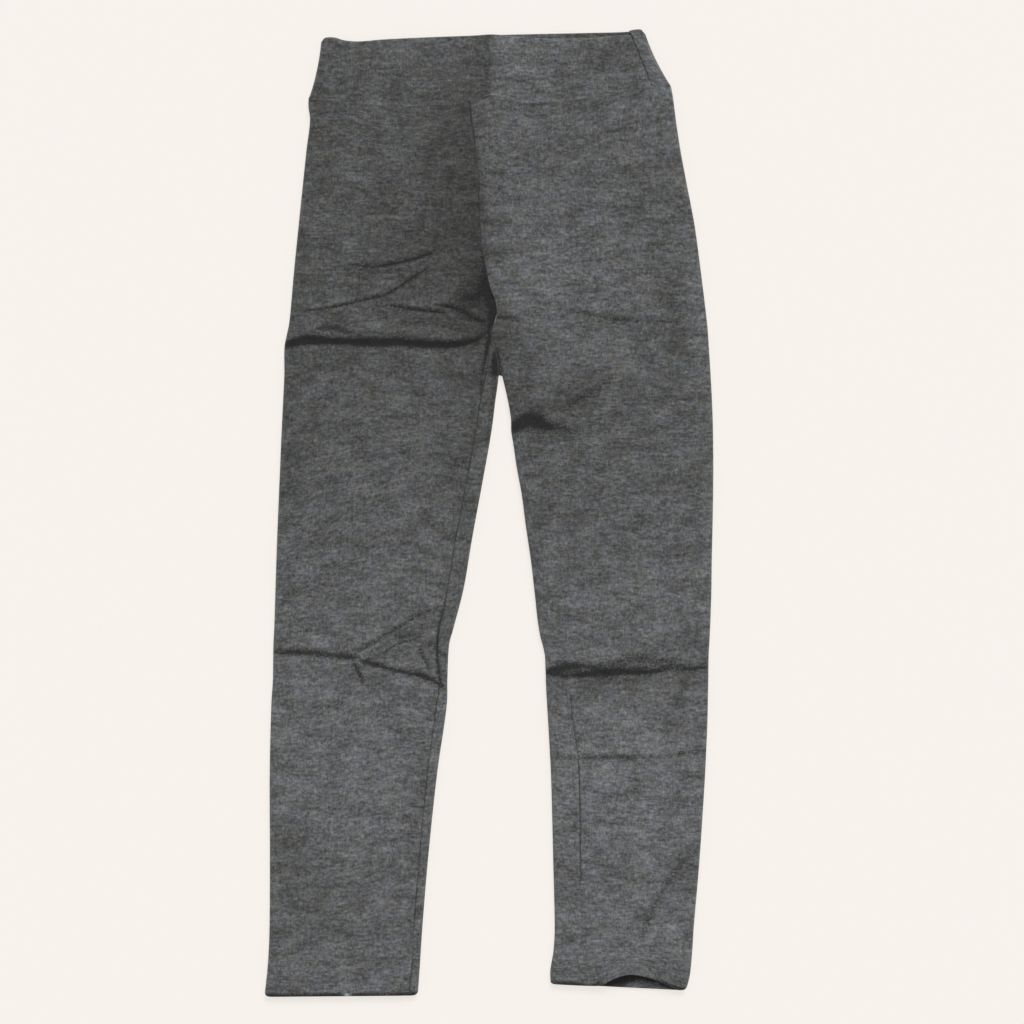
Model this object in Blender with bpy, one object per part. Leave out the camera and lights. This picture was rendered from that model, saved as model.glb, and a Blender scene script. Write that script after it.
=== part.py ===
"""Fleece-lined pull-on trousers lying flat, as the four pieces of cloth that are sewn together.

X runs across the garment, with the wearer's left leg on +X. Y runs towards the waist and Z is up.
The back of the garment lies on Z = 0 and its front lies on the back. The origin is under the
middle of the laid-out width and length. Tables are in millimetres and the model is in metres.

A place on the cloth is given by its x and by "down", its distance below the highest point of the
waist. Each piece is one wall of cloth, lofted through rows that run round the garment from one cut
edge of the piece to the other. A row gives the outer face, and the inner face lies inside it.
"""

import math
from collections import namedtuple

import bmesh
import bpy
import numpy as np

MM = 0.001

# Cloth and construction
CLOTH = 1.6          # brushed knit, one layer
DOUBLED = 2.8        # two layers pressed together, as in the waistband and the turned-up hems
SEAM_GAP = 0.3       # between two edges that are sewn together
HEM_TURN = 22.0      # depth of a hem's turned-up part
TURN_STEP = 4.0      # the wall goes from one layer to two over this much of the leg
HEM_ROW = 9.0        # the last row before a hem's edge is this far from it
LENGTH = 967.0       # from the highest point of the waist to the lower hem
BAND_DEPTH = 70.0    # the row where the legs begin, before it is bent to the waist seam

# How the cloth lies
LIE = 5.4            # height of the front face where one layer lies on the other
ROLL = 5.6           # height of a rolled side edge
BAND_TOP = 6.2       # height of the waistband at its upper edge
BAND_FOOT = 7.0      # height of the waistband at its seam with the legs
BAND_PUFF = 0.6      # how much higher it is between the two
LEG_TOP = 6.4        # height of the legs at the same seam
HEM_HEIGHT = 6.5     # height of the front face at the hems
LOWEST_FRONT = 2 * CLOTH + 0.35
ROLL_SINK = 0.5      # a rolled edge sinks by this share of what the face beside it does
ROLL_BLEND = 14.0    # the front face settles from a rolled edge to its lie over this distance
WAIST_BLEND = 60.0   # the rows straighten below the waist seam over this distance
HEM_BLEND = 45.0     # the rows bend to the hem's line over this distance
BAND_NIP = 2.0       # how far the waistband's side edges curve in between their ends

# Points round a row
FRONT_STOPS = (0.0, 0.011, 0.025, 0.055, 0.11, 0.19, 0.29, 0.40, 0.53, 0.68, 0.84, 1.0)
ROLL_STEPS = 4
BACK_STEPS = 5
TAIL_STEPS = 6       # from the back face round the inner edge to the inseam
TAIL_SPREAD = 50.0   # above the crotch the points of the tail spread out this far over the back,
TAIL_REACH = 120.0   # fully so at this distance from it,
TURN_SPREAD = 8.0    # and by this much more where the cut edges begin to turn
SEAM_CLEAR = 5.0     # points of the waistband's foot keep this far from its ends
TINY = 0.01          # step along a row to find which way it runs
BAND_ROWS = (1.0, 0.85, 0.4, 0.0)    # 1 at the upper edge, 0 at the waist seam
BAND_STEPS = 7

# The line where the two legs meet. Down to the crotch it is the centre-front seam, with the
# centre-back seam under it, and from there the line between the two rolled inner edges.
Centre = namedtuple("Centre", "down front back")
CENTRE = (
    Centre(60, -20.0, 20.0),
    Centre(80, -18.5, 19.5),
    Centre(109, -15.0, 18.0),
    Centre(130, -11.5, 17.0),
    Centre(196, -8.5, 14.0),
    Centre(222, -6.5, 12.5),
    Centre(241, -2.5, 11.0),
    Centre(258, 1.0, 9.5),
    Centre(275, 6.0, 8.5),
    Centre(287, 6.5, 6.5),
    Centre(299, 2.5, 3.0),
    Centre(304, 2.0, 2.0),
    Centre(316, 5.5, 5.5),
    Centre(331, 7.5, 7.5),
    Centre(346, 10.5, 10.5),
)
CROTCH = 304.0
PARTING = 346.0
TURN_IN = 26.0       # the cut edges begin to turn towards each other this far above the crotch
INSEAM_TURN = 12.0   # the inseam comes round from the inner edge to the front this far below it

# Outlines of the legs. outer and inner are distances from the middle line towards the leg's own
# side. inset is how far in from the inner edge the inseam lies, on the front.
Station = namedtuple("Station", "down outer inner inset")
RIGHT_LEG = (
    Station(70, 180.8, 0, 0),
    Station(76, 180.8, 0, 0),
    Station(90, 179.2, 0, 0),
    Station(120, 182.5, 0, 0),
    Station(190, 190.0, 0, 0),
    Station(240, 195.0, 0, 0),
    Station(296, 199.8, -2.0, 4.0),
    Station(316, 203.2, -5.5, 7.5),
    Station(346, 204.5, -9.0, 13.0),
    Station(372, 206.0, -5.5, 14.5),
    Station(403, 207.5, -1.0, 15.0),
    Station(450, 209.5, 7.0, 15.0),
    Station(510, 212.0, 18.0, 15.5),
    Station(559, 213.5, 26.0, 15.5),
    Station(600, 214.5, 36.5, 12.5),
    Station(616, 215.0, 40.5, 10.5),
    Station(650, 216.0, 42.5, 7.0),
    Station(676, 217.0, 43.5, 8.0),
    Station(745, 219.0, 53.0, 9.0),
    Station(825, 219.0, 61.2, 8.5),
    Station(900, 219.5, 67.3, 8.0),
    Station(935, 221.0, 69.3, 8.0),
    Station(967, 223.8, 72.0, 8.0),
)
LEFT_LEG = (
    Station(70, 182.0, 0, 0),
    Station(80, 184.2, 0, 0),
    Station(98, 187.0, 0, 0),
    Station(120, 191.0, 0, 0),
    Station(151, 196.0, 0, 0),
    Station(197, 204.5, 0, 0),
    Station(243, 211.0, 0, 0),
    Station(296, 217.5, 4.0, 4.5),
    Station(316, 219.0, 5.8, 4.5),
    Station(346, 220.8, 13.0, 4.5),
    Station(372, 222.0, 19.0, 4.5),
    Station(390, 222.6, 22.3, 4.5),
    Station(438, 223.6, 27.5, 5.0),
    Station(495, 223.5, 37.0, 7.0),
    Station(531, 222.7, 42.0, 9.0),
    Station(587, 221.0, 48.5, 14.0),
    Station(618, 219.5, 54.0, 19.0),
    Station(657, 218.5, 57.0, 23.0),
    Station(697, 217.5, 59.5, 25.0),
    Station(751, 215.0, 62.0, 27.0),
    Station(835, 209.5, 64.5, 27.0),
    Station(899, 204.0, 66.0, 26.0),
    Station(921, 202.5, 64.5, 26.0),
    Station(947, 199.8, 61.5, 27.0),
    Station(961, 196.5, 62.5, 27.0),
)
# Rows of the legs. They share those above the parting, so that their edges match there.
SHARED_ROWS = (
    70, 80, 98, 122, 150, 180, 205, 226, 243, 258, 271, 281, 288, 294, 299,
    CROTCH, 306, 308, 310, 312, 316, 322, 331, PARTING,
)
RIGHT_ROWS = (
    372, 403, 445, 490, 530, 565, 592, 609, 617, 624, 631, 640, 652, 664,
    690, 730, 775, 815, 860, 905,
)
LEFT_ROWS = (
    366, 380, 391, 402, 420, 460, 505, 548, 590, 620, 635, 643, 651, 664,
    690, 716, 727, 738, 775, 820, 862, 900,
)

# Lines across the garment: the waist seam on the front, and the waistband's upper edges. On the
# back the waist seam runs straight between its two ends.
Point = namedtuple("Point", "x down")
WAIST_SEAM = (
    Point(-174, 72.0),
    Point(-132, 73.0),
    Point(-97, 77.0),
    Point(-62, 77.0),
    Point(-25, 74.0),
    Point(-14, 70.0),
    Point(-3, 65.0),
    Point(9, 65.5),
    Point(28, 71.0),
    Point(50, 73.0),
    Point(121, 66.0),
    Point(160, 57.0),
    Point(174, 57.0),
)
WAIST_SEAM_BACK = (WAIST_SEAM[0], WAIST_SEAM[-1])
FRONT_EDGE = (
    Point(-168, 12.0),
    Point(-155, 9.0),
    Point(-142, 11.0),
    Point(-65, 8.5),
    Point(-13, 6.5),
    Point(12, 8.0),
    Point(58, 10.5),
    Point(105, 8.0),
    Point(142, 5.5),
)
BACK_EDGE = (
    Point(-168, 12.0),
    Point(-155, 9.0),
    Point(-13, 6.0),
    Point(105, 3.0),
    Point(154, 0.0),
)

# The waistband's upper corners, and its side seams from the upper edge to the waist seam. The
# garment lies a little twisted, so the left one has come round to the front, the right one back.
UPPER_CORNERS = (-168.0, 154.5)
LEFT_SIDE_SEAM = (Point(142, 5.5), Point(163, 57.0))
RIGHT_SIDE_SEAM = (Point(-156, 9.0), Point(-168, 72.0))

# The main folds. Each is a trough from one end to the other with a soft ridge along one side of
# it: +1 is the side that comes later going down, and -1 the other. On an upright trough -1 is
# the side towards +X. A negative depth makes a swelling instead of a trough.
FOLD_FADE = 1.6      # a fold fades out past its ends over this many widths
RIDGE_AWAY = 1.9     # its ridge lies this many widths from the trough
RIDGE_WIDTH = 1.3    # and is this many times as wide
Fold = namedtuple("Fold", "x0 down0 x1 down1 width depth ridge side")
FOLDS = (
    Fold(1, 5, 1, 60, 7.0, 0.5, 0.5, -1),            # upright, in the waistband
    Fold(-14, 105, -8, 230, 10.0, 0.7, 0.6, -1),     # along the centre-front seam
    Fold(-6, 244, 1, 272, 9.0, 1.3, 0.6, -1),        # hollow at the foot of that seam
    Fold(-214, 313, -96, 313, 6.0, 1.9, 1.2, -1),    # across the right thigh
    Fold(-96, 313, -14, 308, 5.5, 1.7, 0.8, -1),
    Fold(-134, 238, -60, 227, 7.0, 0.9, 0.7, 1),     # from the front of the right hip
    Fold(-160, 280, -70, 256, 8.0, 0.7, 0.6, -1),
    Fold(26, 389, 70, 392, 9.0, 1.8, 0.9, 1),        # inside of the left thigh
    Fold(88, 372, 122, 352, 9.0, 0.8, 0.4, 1),
    Fold(70, 288, 200, 293, 10.0, 0.6, 0.4, -1),
    Fold(-222, 623, -140, 626, 6.0, 1.7, 1.0, -1),   # across the right knee
    Fold(-136, 630, -48, 655, 6.0, 1.5, 0.9, -1),
    Fold(-128, 623, -52, 583, 6.5, -1.2, 0.0, 1),
    Fold(52, 643, 140, 642, 7.0, 1.9, 1.1, -1),      # across the left knee
    Fold(140, 643, 222, 639, 6.0, 1.6, 1.6, -1),
    Fold(60, 727, 214, 724, 5.0, 0.6, 0.5, 1),       # across the left calf
    Fold(-200, 814, -188, 818, 12.0, 0.7, 0.0, 1),
    Fold(186, 826, 150, 896, 14.0, 0.8, 0.4, 1),
)

# The front edge of the left hem is lifted in an arch, which draws it back from the hem's line.
ARCH_X = 147.0
ARCH_HALF_WIDTH = 38.0
ARCH_LIFT = 3.4
ARCH_BACK = 14.0
ARCH_REACH = 55.0

GARMENT = "joggers"
KNIT_COLOURS = {
    "waistband_front": (0.105, 0.108, 0.109),
    "waistband_back": (0.100, 0.102, 0.103),
    "right_leg": (0.098, 0.100, 0.100),
    "left_leg": (0.112, 0.115, 0.117),
}
KNIT_ROUGHNESS = 0.95


def ease(t):
    """0 at t = 0 and 1 at t = 1, level at both ends."""
    t = min(max(t, 0.0), 1.0)
    return t * t * (3 - 2 * t)


def mix(a, b, t):
    return a + (b - a) * t


def smooth_at(table, down, column):
    """A column of a table at a distance down, on a smooth curve through the table's rows."""
    downs = [row.down for row in table]
    values = [getattr(row, column) for row in table]
    down = min(max(down, downs[0]), downs[-1])
    i = min(max(int(np.searchsorted(downs, down)) - 1, 0), len(downs) - 2)

    def slope(k):
        low, high = max(k - 1, 0), min(k + 1, len(downs) - 1)
        return (values[high] - values[low]) / (downs[high] - downs[low])

    step = downs[i + 1] - downs[i]
    t = (down - downs[i]) / step
    ends = values[i] * (1 - ease(t)) + values[i + 1] * ease(t)
    return ends + step * (slope(i) * t * (1 - t) ** 2 - slope(i + 1) * t * t * (1 - t))


def line_at(points, x):
    """How far down a line across the garment is at x. It is level beyond its ends."""
    return float(np.interp(x, [point.x for point in points], [point.down for point in points]))


def fold_height(fold, x, down):
    """What one fold adds to the height of the front face."""
    run, drop = fold.x1 - fold.x0, fold.down1 - fold.down0
    length = math.hypot(run, drop)
    along = ((x - fold.x0) * run + (down - fold.down0) * drop) / length
    off = ((down - fold.down0) * run - (x - fold.x0) * drop) / length * math.copysign(1, run)
    past = max(-along, along - length, 0.0)
    fade = math.exp(-((past / (FOLD_FADE * fold.width)) ** 2))
    trough = math.exp(-((off / fold.width) ** 2))
    ridge = math.exp(-(((off / fold.width - RIDGE_AWAY * fold.side) / RIDGE_WIDTH) ** 2))
    return fade * (fold.ridge * ridge - fold.depth * trough)


def folds_at(x, down):
    return sum(fold_height(fold, x, down) for fold in FOLDS)


def arch_at(x):
    """Shape of the lifted hem edge across its width, 1 at its crown."""
    return ease(1 - abs(x - ARCH_X) / ARCH_HALF_WIDTH)


def both_faces(path, distance, step, wall):
    """The point of a path at a distance, and the one behind it on the inner face. A path runs
    outwards over the front and inwards over the back, so the inner face is on its right."""
    x, height = path(distance)
    next_x, next_height = path(distance + step)
    across, up = (next_x - x) / step, (next_height - height) / step
    length = math.hypot(across, up)
    return (x, height), (x + wall * up / length, height - wall * across / length)


def rolled_edge(centre, radius, wall):
    """Places on a rolled edge from its top to its foot, each a point of both faces."""
    places = []
    for step in range(ROLL_STEPS + 1):
        angle = math.pi * (0.5 - step / ROLL_STEPS)
        places.append([(centre + reach * math.cos(angle), radius + reach * math.sin(angle))
                       for reach in (radius, radius - wall)])
    return places


def split(places):
    """The outer and the inner face of a row of places (down, outer point, inner point)."""
    outer = [(x, down, height) for down, (x, height), _ in places]
    inner = [(x, down, height) for down, _, (x, height) in places]
    return outer, inner


class Leg:
    """One leg's panel. Its rows run from the front cut edge out to the rolled outer edge, across
    the back, and below the crotch round the inner edge to the inseam on the front."""

    def __init__(self, side, stations, rows, hem_rise):
        self.side = side
        self.stations = stations
        self.hem_rise = hem_rise    # how much higher the hem is at its inner end
        self.hem = stations[-1].down
        self.turn_top = self.hem - HEM_TURN
        self.rows = SHARED_ROWS + rows
        self.rows += (self.turn_top - TURN_STEP, self.turn_top, self.hem - HEM_ROW, self.hem)

    def at(self, column, down):
        return smooth_at(self.stations, down, column)

    def lie(self, across, down):
        """Height of the front face away from its rolled edges."""
        x = self.side * across
        height = max(LIE + folds_at(x, down), LOWEST_FRONT)
        height = mix(height, LEG_TOP, ease(1 - (down - BAND_DEPTH) / WAIST_BLEND))
        height = mix(height, HEM_HEIGHT, ease((down - self.turn_top + HEM_TURN) / HEM_TURN))
        if self.side > 0:
            height += ARCH_LIFT * arch_at(x) * ease(1 - (self.hem - down) / ARCH_REACH)
        return height

    def rolled(self, across, down):
        """Height of a rolled edge."""
        return ROLL + ROLL_SINK * (self.lie(across, down) - LIE)

    def row(self, down, wall):
        """Places round the leg, each as a point (outward distance, height) of the outer face and
        the one of the inner face behind it."""
        outer = self.at("outer", down)
        outer_height = self.rolled(outer, down)
        outer_start = outer - outer_height / 2
        closed = down >= CROTCH
        inner = self.side * smooth_at(CENTRE, down, "front") + SEAM_GAP / 2
        back = self.side * smooth_at(CENTRE, down, "back") + SEAM_GAP / 2
        if down > PARTING:
            inner = self.at("inner", down)
        if closed:
            back = inner

        # Above the crotch the cut edges at the middle lie flat, and they turn towards each other
        # as they near it. At the crotch they meet half-way up, and make a whole rolled edge.
        turned = ease(1 - (CROTCH - down) / TURN_IN)
        inner_height = mix(self.lie(inner, down), self.rolled(inner, down), turned)
        radius = inner_height / 2
        turn = math.pi / 2 * turned
        arc = turn * radius
        inner_start = inner + radius * math.sin(turn)
        back_start = back + radius * math.sin(turn)

        def front(distance):
            """The point this far along the front from the edge at the middle."""
            if distance < arc:
                angle = turn - distance / radius
                return inner_start - radius * math.sin(angle), inner_height - radius * (1 - math.cos(angle))
            across = inner_start + distance - arc
            height = self.lie(across, down)
            height = mix(outer_height, height, ease((outer_start - across) / ROLL_BLEND))
            return across, mix(inner_height, height, ease((across - inner_start) / ROLL_BLEND))

        def tail(distance):
            """The point this far along the back and round the edge, from where the edge turns."""
            if distance < 0:
                return back_start - distance, 0.0
            if not closed or distance <= arc:
                angle = distance / radius
                return back_start - radius * math.sin(angle), radius * (1 - math.cos(angle))
            return front(distance - arc)

        first, last = 0.0, arc
        if closed:
            inseam = (arc + self.at("inset", down) - radius) * ease((down - CROTCH) / INSEAM_TURN)
            first, last = inseam + SEAM_GAP / 2, arc + inseam - SEAM_GAP / 2
        end = arc + outer_start - inner_start
        stops = [mix(first, end, stop) for stop in FRONT_STOPS]
        places = [both_faces(front, stop, TINY, wall) for stop in stops]

        places += rolled_edge(outer_start, outer_height / 2, wall)[1:]

        # The last points of the row spread out over the back, the further the less it turns.
        spread = TAIL_SPREAD * ease((CROTCH - down) / TAIL_REACH)
        spread += TURN_SPREAD * ease((CROTCH - down) / TURN_IN)
        far = back_start - outer_start
        stops = [mix(far, -spread, step / BACK_STEPS) for step in range(1, BACK_STEPS + 1)]
        stops += [mix(-spread, last, step / TAIL_STEPS) for step in range(1, TAIL_STEPS + 1)]
        return places + [both_faces(tail, stop, -TINY, wall) for stop in stops]

    def bent(self, across, down, on_front):
        """Distance down after bending a row to the waist seam above or the hem's line below."""
        x = self.side * across
        seam = line_at(WAIST_SEAM if on_front else WAIST_SEAM_BACK, x)
        near_waist = ease(1 - (down - BAND_DEPTH) / WAIST_BLEND)
        near_hem = ease(1 - (self.hem - down) / HEM_BLEND)
        outer, inner = self.stations[-1].outer, self.stations[-1].inner
        rise = self.hem_rise * (outer - across) / (outer - inner)
        if self.side > 0 and on_front:
            rise += ARCH_BACK * arch_at(x)
        return down + (seam - BAND_DEPTH) * near_waist - rise * near_hem

    def sheet(self):
        """Both faces at every row. The rows go the same way round in both legs. The hem is turned
        up inside, so the wall is double there."""
        rows = []
        for down in self.rows:
            places = []
            for i, both in enumerate(self.row(down, DOUBLED if down >= self.turn_top else CLOTH)):
                bent = self.bent(both[0][0], down, i < len(FRONT_STOPS))
                places.append((bent, *((self.side * x, height) for x, height in both)))
            rows.append(split(places if self.side < 0 else places[::-1]))
        return rows

    def upper_edge(self):
        """The front points of the edge that is sewn to the waistband."""
        front = self.row(BAND_DEPTH, CLOTH)[:len(FRONT_STOPS)]
        return [Point(self.side * x, self.bent(x, BAND_DEPTH, True)) for (x, _), _ in front]


class Band:
    """The waistband, in a front and a back half that meet at the two side seams."""

    def __init__(self, right_leg, left_leg):
        self.foot_corners = (-right_leg.at("outer", BAND_DEPTH), left_leg.at("outer", BAND_DEPTH))
        self.foot = sorted(right_leg.upper_edge() + left_leg.upper_edge())

    def corners(self, t):
        """x of the two rolled edges: at the waist seam for t = 0, at the upper edge for t = 1."""
        nip = BAND_NIP * 4 * t * (1 - t)
        right, left = (mix(foot, top, t) for foot, top in zip(self.foot_corners, UPPER_CORNERS))
        return right + nip, left - nip

    def height(self, t):
        return mix(BAND_FOOT, BAND_TOP, t) + BAND_PUFF * 4 * t * (1 - t)

    def down(self, foot, edge, x, t):
        """Distance down at x and t, between a point of the waist seam and the upper edge."""
        return mix(foot - SEAM_GAP, line_at(edge, x), t)

    def front_row(self, t):
        """From the left side seam over the front, round the right edge and onto the back."""
        height = self.height(t)
        seam_foot = LEFT_SIDE_SEAM[1].x
        roll_foot = self.foot_corners[0] + self.height(0) / 2
        foot = [point for point in self.foot
                if roll_foot + SEAM_CLEAR < point.x < seam_foot - SEAM_CLEAR]
        foot = [Point(seam_foot, line_at(self.foot, seam_foot))] + foot[::-1]
        foot.append(Point(roll_foot, WAIST_SEAM[0].down))

        seam_down = self.down(foot[0].down, FRONT_EDGE, LEFT_SIDE_SEAM[0].x, t)
        start = seam_x(LEFT_SIDE_SEAM, seam_down) - SEAM_GAP / 2
        end = self.corners(t)[0] + height / 2
        places = []
        for point in foot:
            x = mix(start, end, (point.x - seam_foot) / (roll_foot - seam_foot))
            down = self.down(point.down, FRONT_EDGE, x, t)
            face = height + folds_at(x, down) * ease(min(x - end, start - x) / ROLL_BLEND)
            places.append((down, (x, face), (x, face - DOUBLED)))

        down = self.down(WAIST_SEAM[0].down, FRONT_EDGE, self.corners(t)[0], t)
        for outer, inner in rolled_edge(-end, height / 2, DOUBLED)[1:]:
            places.append((down, (-outer[0], outer[1]), (-inner[0], inner[1])))
        stop = seam_x(RIGHT_SIDE_SEAM, self.back_down(end, t)) - SEAM_GAP / 2
        places.append((self.back_down(stop, t), (stop, 0.0), (stop, DOUBLED)))
        return split(places)

    def back_row(self, t):
        """From the right side seam over the back, round the left edge and onto the front."""
        height = self.height(t)
        start = seam_x(RIGHT_SIDE_SEAM, self.back_down(RIGHT_SIDE_SEAM[0].x, t)) + SEAM_GAP / 2
        end = self.corners(t)[1] - height / 2
        across = [mix(start, end, step / BAND_STEPS) for step in range(BAND_STEPS + 1)]
        places = [(self.back_down(x, t), (x, 0.0), (x, DOUBLED)) for x in across]

        down = self.back_down(self.corners(t)[1], t)
        places += [(down, *both) for both in rolled_edge(end, height / 2, DOUBLED)[-2::-1]]
        foot = line_at(self.foot, LEFT_SIDE_SEAM[1].x)
        down = self.down(foot, BACK_EDGE, LEFT_SIDE_SEAM[0].x, t)
        stop = seam_x(LEFT_SIDE_SEAM, down) + SEAM_GAP / 2
        places.append((down, (stop, height), (stop, height - DOUBLED)))
        return split(places)

    def back_down(self, x, t):
        """Distance down on the back."""
        return self.down(line_at(WAIST_SEAM_BACK, x), BACK_EDGE, x, t)


def seam_x(seam, down):
    """x of a side seam at a distance down, on the straight line through its two points."""
    top, foot = seam
    return mix(top.x, foot.x, (down - top.down) / (foot.down - top.down))


def knit(name):
    """Matt charcoal knit, in the shade of one piece."""
    material = bpy.data.materials.new(name + "_knit")
    material.use_nodes = True
    shader = material.node_tree.nodes["Principled BSDF"]
    shader.inputs["Base Color"].default_value = (*KNIT_COLOURS[name], 1.0)
    shader.inputs["Roughness"].default_value = KNIT_ROUGHNESS
    shader.inputs["Metallic"].default_value = 0.0
    return material


def cloth(name, rows, collection):
    """One piece of cloth: a wall lofted through the rows, closed at its cut edges."""
    count = len(rows[0][0])
    solid = bmesh.new()
    rings = []
    for outer, inner in rows:
        rings.append([solid.verts.new((x * MM, (LENGTH / 2 - down) * MM, height * MM))
                      for x, down, height in outer + inner[::-1]])
    for ring, below in zip(rings, rings[1:]):
        for i in range(2 * count):
            j = (i + 1) % (2 * count)
            # The two cut edges turn alike from row to row, so that they stay clear of each other.
            if i == count - 1:
                solid.faces.new((ring[i], ring[j], below[j]))
                solid.faces.new((ring[i], below[j], below[i]))
            elif j == 0:
                solid.faces.new((ring[i], ring[j], below[i]))
                solid.faces.new((ring[j], below[j], below[i]))
            else:
                solid.faces.new((ring[i], ring[j], below[j], below[i]))
    for i in range(count - 1):
        first, last = ([ring[i], ring[i + 1], ring[-i - 2], ring[-i - 1]]
                       for ring in (rings[0], rings[-1]))
        solid.faces.new(first[::-1])
        solid.faces.new(last)
    mesh = bpy.data.meshes.new(name)
    solid.to_mesh(mesh)
    solid.free()
    mesh.materials.append(knit(name))
    mesh.shade_smooth()
    mesh.set_sharp_from_angle(angle=math.radians(50))
    piece = bpy.data.objects.new(name, mesh)
    collection.objects.link(piece)


def main():
    for obj in list(bpy.data.objects):
        bpy.data.objects.remove(obj, do_unlink=True)
    collection = bpy.data.collections.new(GARMENT)
    bpy.context.scene.collection.children.link(collection)

    right_leg = Leg(-1, RIGHT_LEG, RIGHT_ROWS, hem_rise=3.0)
    left_leg = Leg(1, LEFT_LEG, LEFT_ROWS, hem_rise=5.5)
    cloth("right_leg", right_leg.sheet(), collection)
    cloth("left_leg", left_leg.sheet(), collection)

    band = Band(right_leg, left_leg)
    cloth("waistband_front", [band.front_row(t) for t in BAND_ROWS], collection)
    cloth("waistband_back", [band.back_row(t) for t in BAND_ROWS], collection)


if __name__ == "__main__":
    main()
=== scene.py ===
"""Adds a pair of fleece-lined joggers, laid out flat with their front up, and a small studio.

Distances in the tables are in millimetres. A place on the cloth is given by x, across the garment
with the wearer's left leg on +X, and by "down", the distance below the highest point of the waist.
Each piece is a thin closed wall of cloth, lofted through rows that run round the garment from one
cut edge of the piece to the other.
"""

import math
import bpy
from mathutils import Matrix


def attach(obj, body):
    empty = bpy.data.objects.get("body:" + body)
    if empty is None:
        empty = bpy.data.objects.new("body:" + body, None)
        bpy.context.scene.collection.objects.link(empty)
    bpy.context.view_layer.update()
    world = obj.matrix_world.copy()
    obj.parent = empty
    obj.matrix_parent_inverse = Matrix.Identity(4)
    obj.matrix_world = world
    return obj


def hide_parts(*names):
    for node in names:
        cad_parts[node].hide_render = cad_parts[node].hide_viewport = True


bl_info = {
    "name": "Fleece-Lined Joggers",
    "version": (1, 0, 0),
    "blender": (4, 5, 0),
    "location": "3D View > Sidebar > Joggers",
    "description": "Adds slim fleece-lined joggers laid out flat, with their knit and lining",
    "category": "Add Mesh",
}

from collections import namedtuple

import bpy
import numpy as np

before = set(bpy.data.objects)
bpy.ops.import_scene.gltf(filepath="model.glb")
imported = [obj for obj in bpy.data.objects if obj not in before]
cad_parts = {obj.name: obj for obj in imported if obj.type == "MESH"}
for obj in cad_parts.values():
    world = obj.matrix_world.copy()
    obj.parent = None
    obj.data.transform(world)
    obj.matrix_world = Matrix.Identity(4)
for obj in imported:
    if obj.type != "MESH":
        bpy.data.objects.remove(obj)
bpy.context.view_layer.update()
MM = 0.001


def rows_of(kind, *values):
    """A table whose rows are all of one kind."""
    return tuple(kind(*row) for row in values)


# ---------------------------------------------------------------- the cut of the cloth

CLOTH = 1.6          # brushed knit, one layer
DOUBLED = 2.8        # two layers pressed together, as in the waistband and the turned-up hems
SEAM_GAP = 0.06      # between two edges that are sewn together
HEM_TURN = 22        # depth of a hem's turned-up part
TURN_STEP = 4        # the wall goes from one layer to two over this much of the leg
LENGTH = 967         # from the highest point of the waist to the lower hem
BAND_DEPTH = 70      # the row where the legs begin, before it is bent to the waist seam
BAND_HEIGHT = 62     # depth of the waistband

# ---------------------------------------------------------------- how it lies

LIE = 5.4            # height of the front face where one layer lies on the other
ROLL = 5.6           # height of a rolled side edge
INNER_ROLL = 4.5     # least height of a rolled inner edge
BAND_TOP = 6.2       # height of the waistband at its upper edge
BAND_FOOT = 7.0      # height of the waistband at its seam with the legs
BAND_PUFF = 0.6      # how much higher it is between the two
BAND_NIP = 2.0       # how far the waistband's side edges curve in between their ends
LEG_TOP = 6.95       # height of the legs at the same seam
HEM_HEIGHT = 6.5     # height of the front face at the hems
HEM_PRESS = 0.8      # how much of the folds' height is lost there
LOWEST_FRONT = 2 * CLOTH + 0.3
SETTLE = 0.6         # troughs that come closer than this to the lowest front flatten out
ROLL_SINK = 0.5      # a rolled edge sinks by this share of what the face beside it does
ROLL_RISE = 1.2      # and rises with it no further than this
ROLL_BLEND = 14      # the front face settles from a rolled edge to its lie over this distance
BACK_BLEND = 12      # folds of the back fade out towards its edges over this distance
WAIST_BLEND = 60     # the rows straighten below the waist seam over this distance
HEM_BLEND = 45       # the rows bend to the hem's line over this distance
EDGE_DROP = 0.9      # how far the outer face dips into a seam
EDGE_REACH = 1.1     # and over what distance
SEAM_RIDGE = 0.5     # height of the ridge above the waist seam
PRESSED = 0.15       # how far each leg's edge gives way to the other's where they lie together
HEM_CORNER = 4.5     # radius of a hem's corners
INNER_CORNER = 2.4   # but of the left hem's inner one

# The line where the two legs meet. Down to the crotch it is the centre-front seam, with the
# centre-back seam under it, and from there the line between the two rolled inner edges.
Centre = namedtuple("Centre", "down front back")
CENTRE = rows_of(
    Centre,
    (60, -20, 20), (80, -18.5, 19.5), (109, -15, 18), (130, -11.5, 17), (196, -8.5, 14),
    (222, -6.5, 12.5), (241, -2.5, 11), (258, 1, 9.5), (275, 7, 8.5), (287, 7.4, 7.4),
    (299, 3.4, 3.4), (304, 2.2, 2.2), (316, 6, 6), (331, 9.3, 9.3), (346, 10.5, 10.5),
)
CROTCH = 304
PARTING = 346
TURN_IN = 26         # the cut edges begin to turn towards each other this far above the crotch
INSEAM_TURN = 12     # the inseam comes round from the inner edge to the front this far below it

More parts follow.
